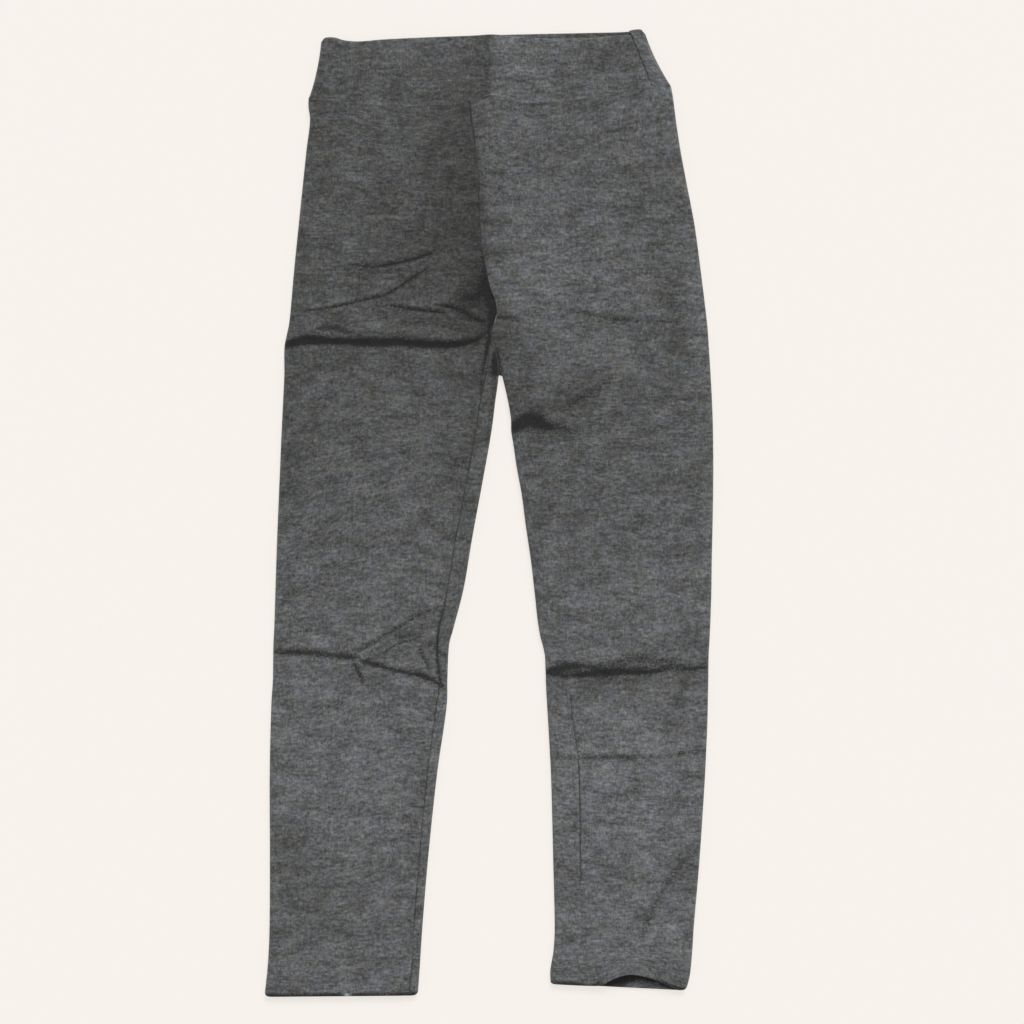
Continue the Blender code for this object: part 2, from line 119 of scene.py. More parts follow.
# Outlines of the legs. outer and inner are distances from the middle line towards the leg's own
# side. inset is how far in from the inner edge the inseam lies, on the front.
Station = namedtuple("Station", "down outer inner inset")
RIGHT_LEG = rows_of(
    Station,
    (70, 180.8, 0, 0), (76, 180.8, 0, 0), (90, 179.2, 0, 0), (120, 182.7, 0, 0), (190, 190, 0, 0),
    (240, 195.1, 0, 0), (280, 198.6, 0, 3), (296, 200.4, -2, 4), (307, 202.8, -4, 6),
    (318, 204.8, -5.5, 7.5), (346, 205, -9.3, 13.3), (372, 206.2, -6.3, 15),
    (403, 207.7, -2.4, 16), (450, 209.7, 5.9, 16), (510, 212.2, 16.9, 16.5),
    (559, 213.8, 25.2, 16.2), (600, 215.1, 35.8, 14.4), (616, 215.9, 39.9, 12.1),
    (650, 216.4, 41.6, 7.7), (676, 218, 42.2, 10.4), (745, 219.6, 51.9, 9.8),
    (825, 219.4, 60.5, 9), (900, 219.8, 66.8, 8.4), (935, 221.4, 69, 8.2),
    (968.2, 224.8, 71.3, 8.6),
)
LEFT_LEG = rows_of(
    Station,
    (70, 182, 0, 0), (80, 184.2, 0, 0), (98, 187.1, 0, 0), (120, 191.4, 0, 0), (151, 197.3, 0, 0),
    (197, 206, 0, 0), (243, 212.2, 0, 0), (296, 218.6, 4, 4.5), (316, 220, 5.8, 4.5),
    (346, 221.9, 13, 4.5), (372, 223.3, 19, 4.5), (390, 224, 21.9, 4.5), (402, 224.3, 22.2, 4.5),
    (417, 224.5, 24.6, 4.7), (438, 224.6, 27.6, 5), (465, 224.4, 32.6, 6), (495, 223.9, 36.5, 7.5),
    (531, 223.1, 41.8, 9.2), (561, 222.7, 45.3, 12), (587, 221.9, 48.1, 14.4),
    (606, 221.1, 50.9, 17.5), (618, 220.4, 54.1, 19), (628, 219.9, 56, 21),
    (657, 219.5, 56.8, 23.2), (697, 218.6, 59.3, 25.2), (722, 217.5, 60.8, 27.4),
    (751, 216.1, 62.2, 28.2), (835, 210.5, 64.3, 27.2), (899, 205, 65.7, 26.3),
    (921, 203.6, 64.6, 25.9), (947, 201, 61.3, 27.2), (962.2, 197, 61.7, 27.8),
)
RIGHT_HEM_RISE = 1.4     # how much higher a hem is at its inner end
LEFT_HEM_RISE = 6.8

# How plainly the seam at the middle, and the inseam below it, show on each leg: in their dip,
# their gathers and their painted shade.
Show = namedtuple("Show", "down show")
RIGHT_SEAM = rows_of(
    Show,
    (70, 1), (105, 0.9), (125, 0.45), (230, 0.45), (304, 0.5), (330, 0.9), (560, 0.8), (600, 1),
    (655, 1), (700, 0.75), (855, 0.75), (866, 1), (890, 1), (897, 0.55), (928, 0.5), (936, 0.9),
    (948, 0.9), (953, 0.55), (960, 0.9), (967, 0.9),
)
LEFT_SEAM = rows_of(
    Show,
    (70, 1), (105, 0.9), (125, 0.45), (300, 0.3), (316, 0), (655, 0), (672, 0.7), (720, 0.75),
    (745, 1), (835, 0.9), (850, 0.6), (858, 0.12), (961, 0.1),
)

# Lines across the garment. On the back the waist seam runs straight between its two ends.
Point = namedtuple("Point", "x down")
WAIST_SEAM = rows_of(
    Point,
    (-180, 71), (-160, 71.5), (-132, 74), (-97, 77.5), (-62, 76.8), (-40, 76.2), (-22, 73),
    (-12, 69.8), (-2, 67.2), (8, 67), (18, 69.8), (30, 72.8), (50, 73.8), (90, 70.5), (121, 66),
    (160, 57), (182, 57),
)
FRONT_EDGE = rows_of(
    Point,
    (-168, 12), (-164, 8.5), (-155, 8.2), (-145, 11), (-131, 12.2), (-105, 10.2), (-65, 8.2),
    (-13, 6.2), (0, 5.2), (12, 5.9), (32, 7.6), (56, 9.1), (80, 9.2), (103, 8.6), (122, 7),
    (142, 5.5),
)
BACK_EDGE = rows_of(
    Point,
    (-168, 12), (-164, 9.5), (-155, 9), (-145, 11.8), (-131, 13), (-105, 11), (-65, 9), (-13, 7),
    (0, 5.8), (12, 5), (105, 3), (138, 2), (150, 0), (155, 1.5),
)
UPPER_CORNERS = (-168, 156.2)
LEFT_SIDE_SEAM = rows_of(Point, (142, 5.5), (163, 57))
RIGHT_SIDE_SEAM = rows_of(Point, (-156, 9), (-168, 72))

# How far the lifted front edge of the left hem is drawn back, and its share of the full lift.
Arch = namedtuple("Arch", "x back lift")
HEM_ARCH = rows_of(
    Arch,
    (98, 0, 0), (112, 1.6, 0.35), (120, 6.6, 0.75), (130, 11.6, 0.97), (141, 14.4, 1),
    (152, 13.6, 0.92), (166, 10.4, 0.7), (178, 5.6, 0.36), (188, 1.2, 0.08), (196, 0, 0),
)
ARCH_LIFT = 6
ARCH_REACH = 60
# How far in from that edge the lining has painted shade.
Reach = namedtuple("Reach", "x reach")
LINING_SHADE_REACH = rows_of(Reach, (130, 16), (137, 11), (145, 8), (156, 5), (168, 3.8))

# ---------------------------------------------------------------- creases

# A crease is a trough along a path of places, each with the trough's half width there. A ridge
# runs along one side of it: side -1 is the waist side of a path that runs towards +X, and the
# +X side of one that runs down. dark is how much painted shade its bottom gets. A row with no
# depth and no ridge is painted shade alone. Where the trough is narrow it is shallow too.
Place = namedtuple("Place", "x down half")
Crease = namedtuple("Crease", "path depth ridge side dark")


def creases(*table):
    """A table of creases. Each row holds its depth, ridge, side and painted shade, then its
    places.
    """
    return tuple(Crease(rows_of(Place, *row[4:]), *row[:4]) for row in table)


RIGHT_CREASES = creases(
    # across the thigh, the deepest
    (1.9, 3.4, -1, 1.15, (-212, 317, 3.4), (-200, 315.5, 4.6), (-186, 312.5, 5.6),
     (-170, 312.5, 5.2), (-156, 313.5, 4.4), (-140, 313.5, 3.8), (-127, 314.5, 5.4),
     (-112, 315, 5.4), (-91, 314, 5), (-78, 315.5, 4.6), (-56, 316.5, 5.2), (-42, 317, 4.4),
     (-23, 315, 3.4), (-12, 311, 2.8), (-2, 304, 1.8)),
    (1.2, 0.8, 1, 0.94, (-172, 299.5, 2.2), (-164, 298, 4.2), (-154, 298.5, 4.6), (-145, 301, 3.4),
     (-136, 304, 2)),
    # from the front of the hip
    (1.3, 1, 1, 1, (-140, 235, 1.2), (-115, 238, 1.8), (-105, 236.5, 2.4), (-91, 234, 2),
     (-81, 231, 2.6), (-70, 228, 2.6), (-56, 223.5, 1.5)),
    (1, 0.8, -1, 0.82, (-184, 282, 1), (-161, 279.5, 1.6), (-143, 275.5, 1.6), (-122, 270.5, 1.9),
     (-105, 267, 1.9), (-91, 259, 1.6), (-76, 249, 1.5), (-62, 239, 1.2)),
    (1, 0.8, -1, 0.92, (-96, 277, 1.3), (-74, 281, 2.2), (-56, 283, 2.2), (-45, 284, 1.3)),
    (0, 0, 1, 0.26, (-140, 240, 4), (-105, 240, 7), (-78, 236, 7), (-58, 229, 4)),
    (1.2, 1, -1, 0.94, (-48, 277, 1.6), (-40, 278, 3.2), (-31, 280.5, 3.8), (-23, 284.5, 3.2),
     (-15, 289.5, 2.6), (-8, 292.5, 2.2), (0, 292.5, 1.8)),
    (0.6, 0.5, -1, 0.6, (-50, 196, 1.2), (-40, 198, 1.8), (-32, 200, 1.2)),
    # the recess beside the centre seam, and on down to the inseam
    (1.7, 0, 1, 1.1, (-7, 222, 1.8), (-5, 233, 2.6), (-4, 245, 3.4), (-3, 255, 4.6), (0, 264, 6.6),
     (3, 272, 7.2), (5, 280, 5.6), (4.5, 289, 5), (2, 298, 4.2), (0.5, 310, 3)),
    (0.8, 0, 1, 1, (3, 299, 3), (0.5, 311, 3), (-2, 321, 2.3), (-4.5, 334, 1.7), (-7, 350, 1.3),
     (-8.5, 364, 0.9)),
    (0.9, 0, 1, 0.9, (-28, 269, 4.2), (-19, 268, 8.4), (-11, 265, 8), (-8, 255, 6),
     (-7, 242, 3.4)),
    (0, 0, 1, 0.36, (-36, 266, 5), (-20, 263, 11), (-12, 246, 8), (-8, 222, 4)),
    # between the legs where they part
    (0.6, 0, 1, 1.15, (6.5, 318, 1.4), (7, 329, 3.8), (7, 337, 5), (7.5, 344, 5.2)),
    # across the knee
    (1.7, 1.8, -1, 0.86, (-218, 623.5, 2.4), (-200, 624, 3.2), (-186, 624.5, 3.4),
     (-172, 626, 4.6), (-160, 627, 4), (-148, 628.5, 4.6), (-140, 629, 3.8), (-131, 629, 2)),
    (0, 0, -1, 0.34, (-216, 624, 5), (-190, 624, 7.5), (-166, 626, 8), (-138, 628, 5)),
    (1.4, 1.3, -1, 0.9, (-129, 632.5, 1.8), (-121, 634, 3.6), (-111, 637.5, 3), (-96, 641.5, 3),
     (-81, 645, 3.2), (-68, 647, 3.8), (-60, 650.5, 3.4), (-48, 656, 2.8)),
    (0, 0, -1, 0.32, (-126, 632, 4), (-100, 639, 6.5), (-70, 645, 7), (-50, 652, 4)),
    (0, 0, -1, 0.26, (-132, 630, 4), (-110, 620, 9), (-86, 606, 12), (-62, 594, 7)),
    (1, 1.9, -1, 0.6, (-133, 624, 2.4), (-116, 615, 3.2), (-100, 605, 3.2), (-84, 595, 2.6),
     (-68, 586, 2), (-51, 578, 1.4)),
    (0.9, 0.8, 1, 0.66, (-104, 622, 1.4), (-91, 614, 2), (-76, 610.5, 2.4), (-67, 613, 2.2),
     (-57, 617, 1.5)),
    (0.7, 0.5, -1, 0.82, (-70, 620, 1.6), (-66, 629, 2.2), (-61, 637, 1.6)),
    (0.84, 0.6, -1, 0.95, (-135, 634, 1.8), (-131, 643, 2.5), (-126, 653, 1.7)),
    (0.5, 0.4, -1, 0.5, (-148, 676, 1.6), (-144, 670, 2.4), (-139, 665, 1.5)),
    (0.7, 0.6, 1, 0.88, (-43, 576, 1.3), (-49.8, 598, 1.9), (-52, 618, 2.3), (-51, 634, 2.3),
     (-49.5, 648, 2.3), (-47.5, 657, 1.8)),
    (0.5, 0.4, -1, 0.42, (-195, 723, 1.6), (-186, 727, 2.4), (-178, 731, 1.6)),
    (0.7, 0.6, -1, 0.4, (-220, 811, 2.5), (-206, 816, 3.6), (-190, 822, 2.5)),
    # the inner edge, turned down where the legs part
    (0.3, 0, 1, 0.45, (8, 347, 3), (6, 365, 3.4), (4, 380, 4.2), (1, 398, 3.8), (-2, 416, 2.4)),
    (0.4, 0.3, -1, 0.6, (-50, 623, 1.8), (-45, 627, 2.6), (-41, 632, 1.8)),
)
LEFT_CREASES = creases(
    # between the legs where they part
    (0.3, 0, 1, 1.1, (8, 320, 1.2), (9, 330, 2.6), (9.5, 338, 3.2), (10.5, 344, 3)),
    # inside of the thigh
    (1.8, 2.2, -1, 1.1, (21, 401, 6.5), (27, 398.5, 7.4), (34, 394.5, 8.6), (42, 393, 9.6),
     (50, 395, 9.4), (57, 399, 6.2), (65, 399, 4.8), (75, 399.5, 2.4)),
    (0, 0, -1, 0.52, (20, 402, 7), (36, 396, 13), (58, 400, 13), (86, 403, 6)),
    (0.4, 0.3, -1, 0.56, (9, 290, 2), (18, 289.5, 3), (27, 292, 3.4), (36, 294, 1.6)),
    (0.9, 0.6, -1, 0.5, (80, 377, 4), (93, 369, 7), (108, 360, 7), (122, 350, 4)),
    (0.7, 0.5, 1, 0.3, (139, 405, 2.5), (160, 384, 4.5), (182, 361, 2.5)),
    (0.8, 0.6, -1, 0.5, (82, 283, 1.3), (101, 285.5, 2), (120, 291, 2.5), (136, 292.5, 2.8),
     (155, 292.5, 2.8), (176, 293, 2.3), (192, 293, 1.8)),
    (0.6, 0.4, 1, 0.22, (178, 236, 3), (185, 285, 5.5), (178, 340, 3)),
    # across the knee
    (1.8, 2.4, -1, 1, (56, 644.5, 3), (68, 646.5, 3.4), (79, 647.5, 3), (90, 646.5, 3.8),
     (100, 646, 4.4), (109, 645, 5.6), (121, 644.5, 5.8), (134, 643.5, 4.8), (143, 644, 3.8),
     (160, 643.5, 3.5), (170, 642.5, 3.4), (179, 641, 2.7), (188, 641, 2.1), (196, 640.5, 2.8),
     (206, 640, 3.1), (214, 639, 2.7), (218, 639, 2.4)),
    (1.2, 1.4, -1, 1, (57, 644, 3.2), (66, 642, 5.4), (75, 640.5, 6), (83, 638.5, 4.8),
     (91, 637.5, 3.4), (104, 639, 2.8), (113, 641.5, 2.6)),
    (0, 0, -1, 0.66, (58, 643.5, 5), (72, 644, 8), (96, 645.5, 9), (122, 645, 8.5), (142, 642, 6),
     (160, 640, 4)),
    (0, 0, -1, 0.72, (66, 642, 3), (80, 641.5, 4.6), (98, 641.5, 4.6), (114, 643, 3)),
    (0.8, 1.2, -1, 0.62, (122, 638, 4), (140, 631, 7.5), (156, 630.5, 8), (176, 636, 8.5),
     (192, 640, 5)),
    (0, 0, -1, 0.44, (60, 643, 8), (98, 645, 14), (132, 645, 14), (170, 641, 10), (205, 640, 6)),
    # across the calf
    (0.8, 0.6, -1, 0.74, (56, 728, 1.3), (94, 728, 1.7), (129, 728.5, 1.7), (164, 727.5, 1.9),
     (185, 727, 2), (199, 724, 1.9), (217, 722, 1.4)),
    (0.8, 0.5, 1, 0.36, (198, 650, 5), (191, 670, 8), (182, 690, 9), (177, 706, 6)),
    (0.8, 0.6, 1, 0.48, (206, 822, 3.5), (182, 850, 7), (166, 878, 6), (152, 910, 4)),
    # above the lifted hem
    (0.6, 0.5, -1, 0.6, (128, 936, 1.6), (136, 935, 2.4), (144, 933, 1.5)),
    (0.6, 0.5, -1, 0.6, (149, 936, 1.6), (158, 937, 2.4), (167, 939, 1.5)),
)
BAND_CREASES = creases(
    (0.7, 0.9, -1, 0.1, (-2, 0, 6), (-3, 30, 7.5), (-3, 62, 5)),
    (0.35, 0.3, -1, 0.05, (-150, 18, 3), (-120, 22, 5), (-90, 20, 3)),
    (0.4, 0.4, 1, 0.05, (60, 52, 4), (100, 46, 6), (140, 36, 4)),
)
# Folds in the back, which lies on the surface and lifts off it along each of them, with painted
# shade along each.
BACK_CREASES = creases(
    (0.9, 0, 1, 0.4, (-205, 330, 3), (-120, 322, 6), (-40, 336, 3)),
    (0.8, 0, 1, 0.35, (60, 352, 3), (140, 340, 6), (215, 348, 3)),
    (0.9, 0, 1, 0.4, (-212, 640, 3), (-130, 632, 5.5), (-55, 646, 3)),
    (0.9, 0, 1, 0.4, (62, 630, 3), (140, 640, 5.5), (214, 632, 3)),
    (0.7, 0, 1, 0.3, (-90, 250, 2), (-30, 280, 5), (0, 292, 3)),
    (0.7, 0, 1, 0.3, (100, 240, 2), (45, 272, 5), (14, 288, 3)),
    (0.6, 0, 1, 0.25, (80, 760, 2), (140, 748, 4.5), (205, 756, 2)),
    (0.6, 0, 1, 0.25, (-205, 770, 2), (-150, 778, 4.5), (-90, 768, 2)),
)

# Soft swellings and dimples of the front, each an oval. turn is its lean in degrees, and a
# negative height makes a dimple.
Swell = namedtuple("Swell", "x down across along turn height")
SWELLS = rows_of(
    Swell,
    (-60, 120, 60, 42, 20, 0.5), (-130, 180, 45, 55, 0, 0.6), (-45, 250, 34, 30, 30, -0.5),
    (40, 130, 22, 40, -10, 0.9), (25, 210, 18, 60, 0, 1), (20, 285, 14, 34, 0, 1.1),
    (110, 150, 40, 70, 0, 0.5), (160, 230, 30, 60, 10, 0.4), (-17, 285, 14, 24, 15, -1.5),
    (-9, 262, 7, 26, 8, -1.1), (-120, 380, 60, 50, 0, 0.5), (-60, 460, 30, 80, -8, 0.4),
    (-160, 520, 40, 70, 0, 0.4), (120, 330, 60, 30, 0, 0.6), (95, 375, 18, 12, -30, -0.8),
    (60, 372, 26, 12, 0, 0.7), (130, 470, 60, 60, 10, 0.5), (110, 580, 50, 45, 0, 0.4),
    (158, 632, 22, 9, 0, 0.9), (-95, 605, 34, 12, -30, 0.9), (-160, 700, 40, 45, 0, 0.5),
    (-110, 790, 40, 60, 0, 0.4), (-198, 815, 9, 7, 0, -0.9), (-165, 892, 10, 13, 20, -0.6),
    (140, 800, 40, 50, 0, 0.5), (110, 870, 30, 40, 0, 0.4), (-140, 930, 50, 25, 0, 0.4),
)

# Where the knit is painted lighter or darker, each an oval: painted light and painted shade where
# the light falls unevenly, beside creases and in recesses, together with uneven tone of the knit.
PaintedLightAndTone = namedtuple("PaintedLightAndTone", "x down across along light")
PAINTED_LIGHT_AND_TONES = rows_of(
    PaintedLightAndTone,
    (-60, 230, 130, 130, -0.19), (-13, 285, 24, 24, -0.2), (-25, 140, 55, 110, -0.13),
    (-150, 45, 38, 36, -0.1), (-170, 110, 14, 50, -0.1), (-190, 290, 16, 210, -0.09),
    (-50, 300, 28, 10, -0.13), (-150, 330, 60, 14, -0.06), (-26, 450, 20, 120, -0.11),
    (-130, 430, 90, 110, -0.025), (-6, 330, 16, 26, -0.12), (-60, 600, 40, 50, -0.07),
    (26, 45, 20, 44, 0.08), (163, 38, 8, 34, 0.15), (15, 150, 30, 90, 0.12),
    (62, 250, 55, 60, 0.18), (190, 225, 12, 60, -0.05), (35, 350, 18, 30, -0.08),
    (-140, 740, 150, 150, 0.12), (-140, 930, 120, 60, 0.02), (-196, 832, 20, 34, -0.15),
    (-172, 884, 24, 22, -0.13), (-62, 860, 22, 50, -0.07), (140, 780, 150, 160, 0.12),
    (110, 900, 110, 110, 0.06), (118, 650, 52, 17, -0.14), (100, 851, 50, 16, -0.12),
    (200, 842, 18, 26, -0.17), (130, 160, 110, 110, 0.03), (100, 380, 60, 60, -0.06),
    (80, 490, 30, 30, -0.06), (-14, 180, 10, 60, -0.12), (14, 303, 20, 20, -0.17),
    (162, 150, 16, 40, -0.07), (186, 118, 10, 18, 0.05), (-122, 262, 26, 18, 0.12),
    (95, 323, 35, 14, 0.08), (140, 400, 30, 20, 0.06), (-185, 535, 30, 36, 0.05),
    (120, 580, 42, 20, 0.09), (178, 541, 26, 12, 0.09), (140, 715, 45, 36, 0.07),
    (-64, 745, 15, 24, -0.08), (84, 802, 18, 24, -0.06), (155, 785, 18, 14, 0.06),
    (-130, 950, 50, 12, 0.06), (128, 948, 16, 10, 0.06), (176, 55, 7, 8, 0.24),
    (170, 48, 8, 13, 0.14), (138, 46, 16, 8, 0.07), (130, 24, 15, 13, -0.11),
    (177, 82, 9, 10, 0.07), (5, 118, 7, 13, 0.07), (-9, 190, 6, 50, -0.09),
    (24, 251, 10, 12, 0.06), (-134, 290, 8, 5, -0.1), (-60, 268, 16, 8, -0.05),
    (-86, 331, 12, 7, 0.06), (-202, 333, 7, 10, -0.08), (-204, 430, 6, 44, -0.08),
    (150, 300, 30, 10, 0.04), (138, 474, 8, 24, -0.06), (186, 430, 22, 5, -0.08),
    (-180, 881, 16, 5, -0.08), (5, 357, 5, 10, -0.18), (-3, 236, 5, 11, -0.12),
    (160, 957, 14, 5, 0.08), (-132, 60, 8, 6, 0.11), (-165, 14, 6, 7, -0.12),
    (188, 914, 9, 9, 0.13), (217, 335, 5, 9, 0.12), (192, 322, 11, 13, -0.12),
    (-179, 119, 6, 12, -0.11), (-203, 452, 7, 24, -0.09), (-201, 334, 8, 9, -0.1),
    (148, 40, 8, 8, -0.09), (113, 651, 20, 6, -0.12), (56, 409, 9, 6, -0.11),
    (-55, 382, 9, 9, 0.09), (176, 485, 16, 24, 0.07), (170, 534, 9, 9, 0.09),
    (219, 528, 5, 20, 0.08), (207, 677, 7, 9, 0.09), (213, 722, 5, 9, 0.09), (78, 330, 9, 9, 0.09),
    (-198, 533, 8, 10, 0.09), (-65, 827, 6, 10, -0.1), (-77, 737, 8, 9, -0.09),
    (-153, 720, 9, 8, 0.09), (103, 557, 9, 9, 0.1), (98, 781, 8, 8, -0.09), (106, 800, 8, 7, 0.08),
    (103, 838, 8, 8, 0.1), (72, 853, 7, 6, -0.09), (134, 917, 9, 8, 0.08), (197, 653, 6, 8, -0.14),
    (190, 673, 7, 5, -0.11), (177, 694, 10, 15, -0.15), (160, 650, 12, 6, 0.04),
    (-28, 268, 9, 7, -0.06), (86, 370, 14, 8, -0.12), (-4, 278, 10, 16, -0.07),
    (100, 290, 8, 20, -0.07), (180, 240, 30, 8, -0.04), (-4, 223, 5, 10, -0.12),
    (196, 700, 10, 14, -0.05), (100, 640, 30, 5, -0.05), (-94, 606, 16, 5, -0.07),
    (208, 300, 8, 30, 0.05), (210, 332, 7, 8, 0.1), (199, 190, 6, 60, 0.07),
    (-61, 67, 6, 4, -0.16), (-42, 68, 5, 3.5, -0.12), (24, 138, 14, 20, 0.05),
    (82, 205, 22, 12, 0.06), (160, 208, 22, 14, -0.05), (208, 262, 9, 34, 0.08),
    (-188, 275, 16, 12, -0.05), (136, 275, 22, 14, 0.05), (107, 299, 10, 8, -0.08),
    (190, 302, 12, 26, -0.12), (216, 300, 7, 40, 0.1), (-8, 362, 10, 30, -0.09),
    (89, 371, 16, 9, -0.08), (24, 374, 8, 14, -0.12), (54, 407, 14, 6, -0.1),
    (-30, 420, 12, 20, -0.05), (96, 443, 20, 12, 0.06), (206, 443, 12, 14, -0.06),
    (48, 476, 13, 22, -0.1), (-94, 467, 14, 10, -0.05), (-134, 541, 24, 12, 0.05),
    (204, 684, 10, 12, 0.1), (-134, 708, 14, 12, 0.05), (-204, 731, 20, 10, 0.05),
    (-84, 757, 22, 12, -0.06), (84, 762, 14, 16, -0.05), (136, 779, 18, 12, 0.05),
    (-211, 806, 9, 12, -0.09), (66, 803, 10, 12, -0.06), (-70, 830, 8, 16, -0.12),
    (106, 827, 12, 10, 0.06), (198, 828, 14, 12, -0.07), (-94, 876, 16, 10, -0.1),
    (-174, 876, 12, 10, -0.05), (166, 876, 10, 12, -0.06), (186, 894, 12, 14, 0.09),
)

# How strong the painted highlight is where the rolled edge of the waistband catches the light
# along the waist seam, and how much painted shade the seam itself gets, as the leg's cloth turns
# into it.
Glint = namedtuple("Glint", "x light")
WAIST_GLINTS = rows_of(
    Glint,
    (-180, 0.08), (-170, 0.2), (-152, 0.2), (-130, 0.24), (-112, 0.25), (-98, 0.26), (-90, 0.2),
    (-78, 0.24), (-68, 0.12), (-44, 0.12), (-36, 0.22), (-16, 0.24), (8, 0.27), (20, 0.24),
    (36, 0.28), (46, 0.12), (60, 0.07), (182, 0.05),
)
WAIST_SHADES = rows_of(
    Glint,
    (-180, 0.25), (-84, 0.25), (-66, 0.75), (-44, 0.65), (-20, 0.3), (12, 0.12), (182, 0.12),
)

# Where the cloth was pulled askew, so that its courses rise to the right, in degrees.
Pull = namedtuple("Pull", "x down width height degrees")
PULLS = rows_of(Pull, (-158, 470, 75, 105, 14), (-135, 800, 45, 150, 10))

# Where each piece was cut from the length of knit, in metres, so that no two have the same flecks.
CUT_FROM = {"right_leg": (0, 0), "left_leg": (1.3, 0.47), "waistband_front": (2.7, 1.9),
            "waistband_back": (3.9, 2.6)}

# ---------------------------------------------------------------- how a crease looks, and where shade and light are painted

RIDGE_OFF = 1.9      # the ridge's distance from the trough's middle, in half widths
RIDGE_HALF = 1.3     # and its own half width, likewise
DARK_OFF = 0.2       # the darkest line of painted shade lies this far towards the ridge, likewise
DARK_FALL = 1.1      # how fast the painted shade falls off from it
DEEP = 0.95          # creases with more painted shade than this have a harder edge
NARROW_DARK = 1.6    # a narrow part of a crease gets more painted shade than its depth alone would give it
HALO_SHARE = 0.36    # how much of a crease's painted shade spreads past its edges
HALO_REACH = 2.6     # and how far
SEAM_PAINTED_SHADE = 0.75     # painted shade in a leg's seam where it shows fully
SEAM_LINE = 0.9      # and how far it reaches
# painted shade in the waistband's seams, and how far it reaches
BAND_SEAM_PAINTED_SHADE = 0.9
BAND_SEAM_LINE = 0.8
INSIDE_PAINTED_SHADE = 0.7    # painted shade of a leg's inside
# and of the waistband's inside
BAND_INSIDE_PAINTED_SHADE = 0.3
HEM_PAINTED_SHADE = 1.05      # painted shade of the fold at a hem
HEM_LINE = 3.9       # and how far it reaches
HEM_TUFT = -142      # where a little fleece shows at the right hem
TUFT_WIDTH = 5
TUFT_DEPTH = 1.1
TUFT_LIGHT = 1.1     # how much lighter it is there
LINING_LEAST_SHADE = 0.12  # painted shade of the left leg's lining where most light reaches it
PARTED_PAINTED_LIGHT = (-0.15, 0.1)      # painted shade and painted light beside the middle, to its right and left
PARTED_REACH = (30, 32)          # and how far it reaches
PARTED_TO = 330      # it ends at this distance down
PARTED_FADE = 60     # and fades out over this much above it
BAND_MIDDLE = 1      # x of the waistband's own soft fold
SHARP_TURN = math.radians(60)    # faces that turn more than this meet at a hard edge

# ---------------------------------------------------------------- points round a row

SEAM_STOPS = (0, 0.45, 0.95, 1.6, 2.5, 3.6)      # distances from a cut edge, where the face dips
EDGE_ROWS = (0.35, 0.8, 1.4, 2.2, 3.4, 5)        # rows are added this far from a seam or hem
TURN_ROWS = (-TURN_STEP, -2.6, -1.3, 0, 1.5, 3)  # and from the hem's turned-up edge
CROTCH_ROWS = (-3, -1, 0, 1.5)                   # and from the crotch
FRONT_COLUMNS = 78
ROLL_COLUMNS = 9
BACK_COLUMNS = 18
TAIL_COLUMNS = 12
TAIL_SPREAD = 50     # the columns near the centre-back seam keep to this much of the back
TAIL_REACH = 120     # from the crotch up to this far above it
TURN_SPREAD = 8      # and to this much more where the cut edges turn in
TAIL_START = 4
TINY = 0.02
BAND_ROWS = 22
BAND_COLUMNS = 120
BAND_SPAN = 330      # about as long as the waistband's back
SIDE_STOP = 4.6      # where the stops beside the left side seam begin
BACK_STOPS = (0.3, 0.6, 0.8, 0.9, 0.96, 1.0)     # shares of the short way to the right side seam
ROW_STEP = 3.4       # between rows on smooth cloth
FINE_STEP = 1.3      # between rows across a sharp crease
FINE_DEPTH = 0.85    # creases deeper than this are sharp
FINE_REACH = 6       # rows are fine this near to one
FINE_FADE = 9        # and open out over this distance
ROW_GAP = 0.3        # rows closer together than this are dropped


def ease(t):
    """0 at t = 0 and 1 at t = 1, level at both ends."""
    t = np.clip(t, 0.0, 1.0)
    return t * t * (3 - 2 * t)


def mix(a, b, t):
    return a + (b - a) * t


def bell(off, reach, power=2):
    """1 at off = 0, falling to nothing a little past the reach."""
    return np.exp(-((off / reach) ** power))


def smooth(xs, ys, x):
    """ys at x, on a smooth curve through the given points, level beyond its ends."""
    xs, ys = np.array(xs, float), np.array(ys, float)
    slopes = np.gradient(ys, xs)
    slopes[1:-1] = (ys[2:] - ys[:-2]) / (xs[2:] - xs[:-2])
    x = np.clip(x, xs[0], xs[-1])
    i = np.clip(np.searchsorted(xs, x, side="right") - 1, 0, len(xs) - 2)
    step = xs[i + 1] - xs[i]
    t = (x - xs[i]) / step
    ends = mix(ys[i], ys[i + 1], ease(t))
    return ends + step * (slopes[i] * t * (1 - t) ** 2 - slopes[i + 1] * t * t * (1 - t))


def column(table, name, at, key="down"):
    """A column of a table at distances along its key, on a smooth curve."""
    return smooth([getattr(row, key) for row in table], [getattr(row, name) for row in table], at)


def straight(table, at):
    """The second column of a table at places along its first, on straight lines."""
    return np.interp(at, *zip(*table))


def line_at(points, x):
    return column(points, "down", x, key="x")


def arch(name, x):
    return column(HEM_ARCH, name, x, key="x")


def arch_lift(x):
    return np.clip(arch("lift", x), 0, 1)


def back_waist(x):
    """The waist seam on the back, straight between its ends."""
    first, last = WAIST_SEAM[0], WAIST_SEAM[-1]
    return mix(first.down, last.down, (x - first.x) / (last.x - first.x))


def seam_x(seam, down):
    """x of a side seam at a distance down, on the straight line through its two points."""
    top, foot = seam
    return mix(top.x, foot.x, (down - top.down) / (foot.down - top.down))


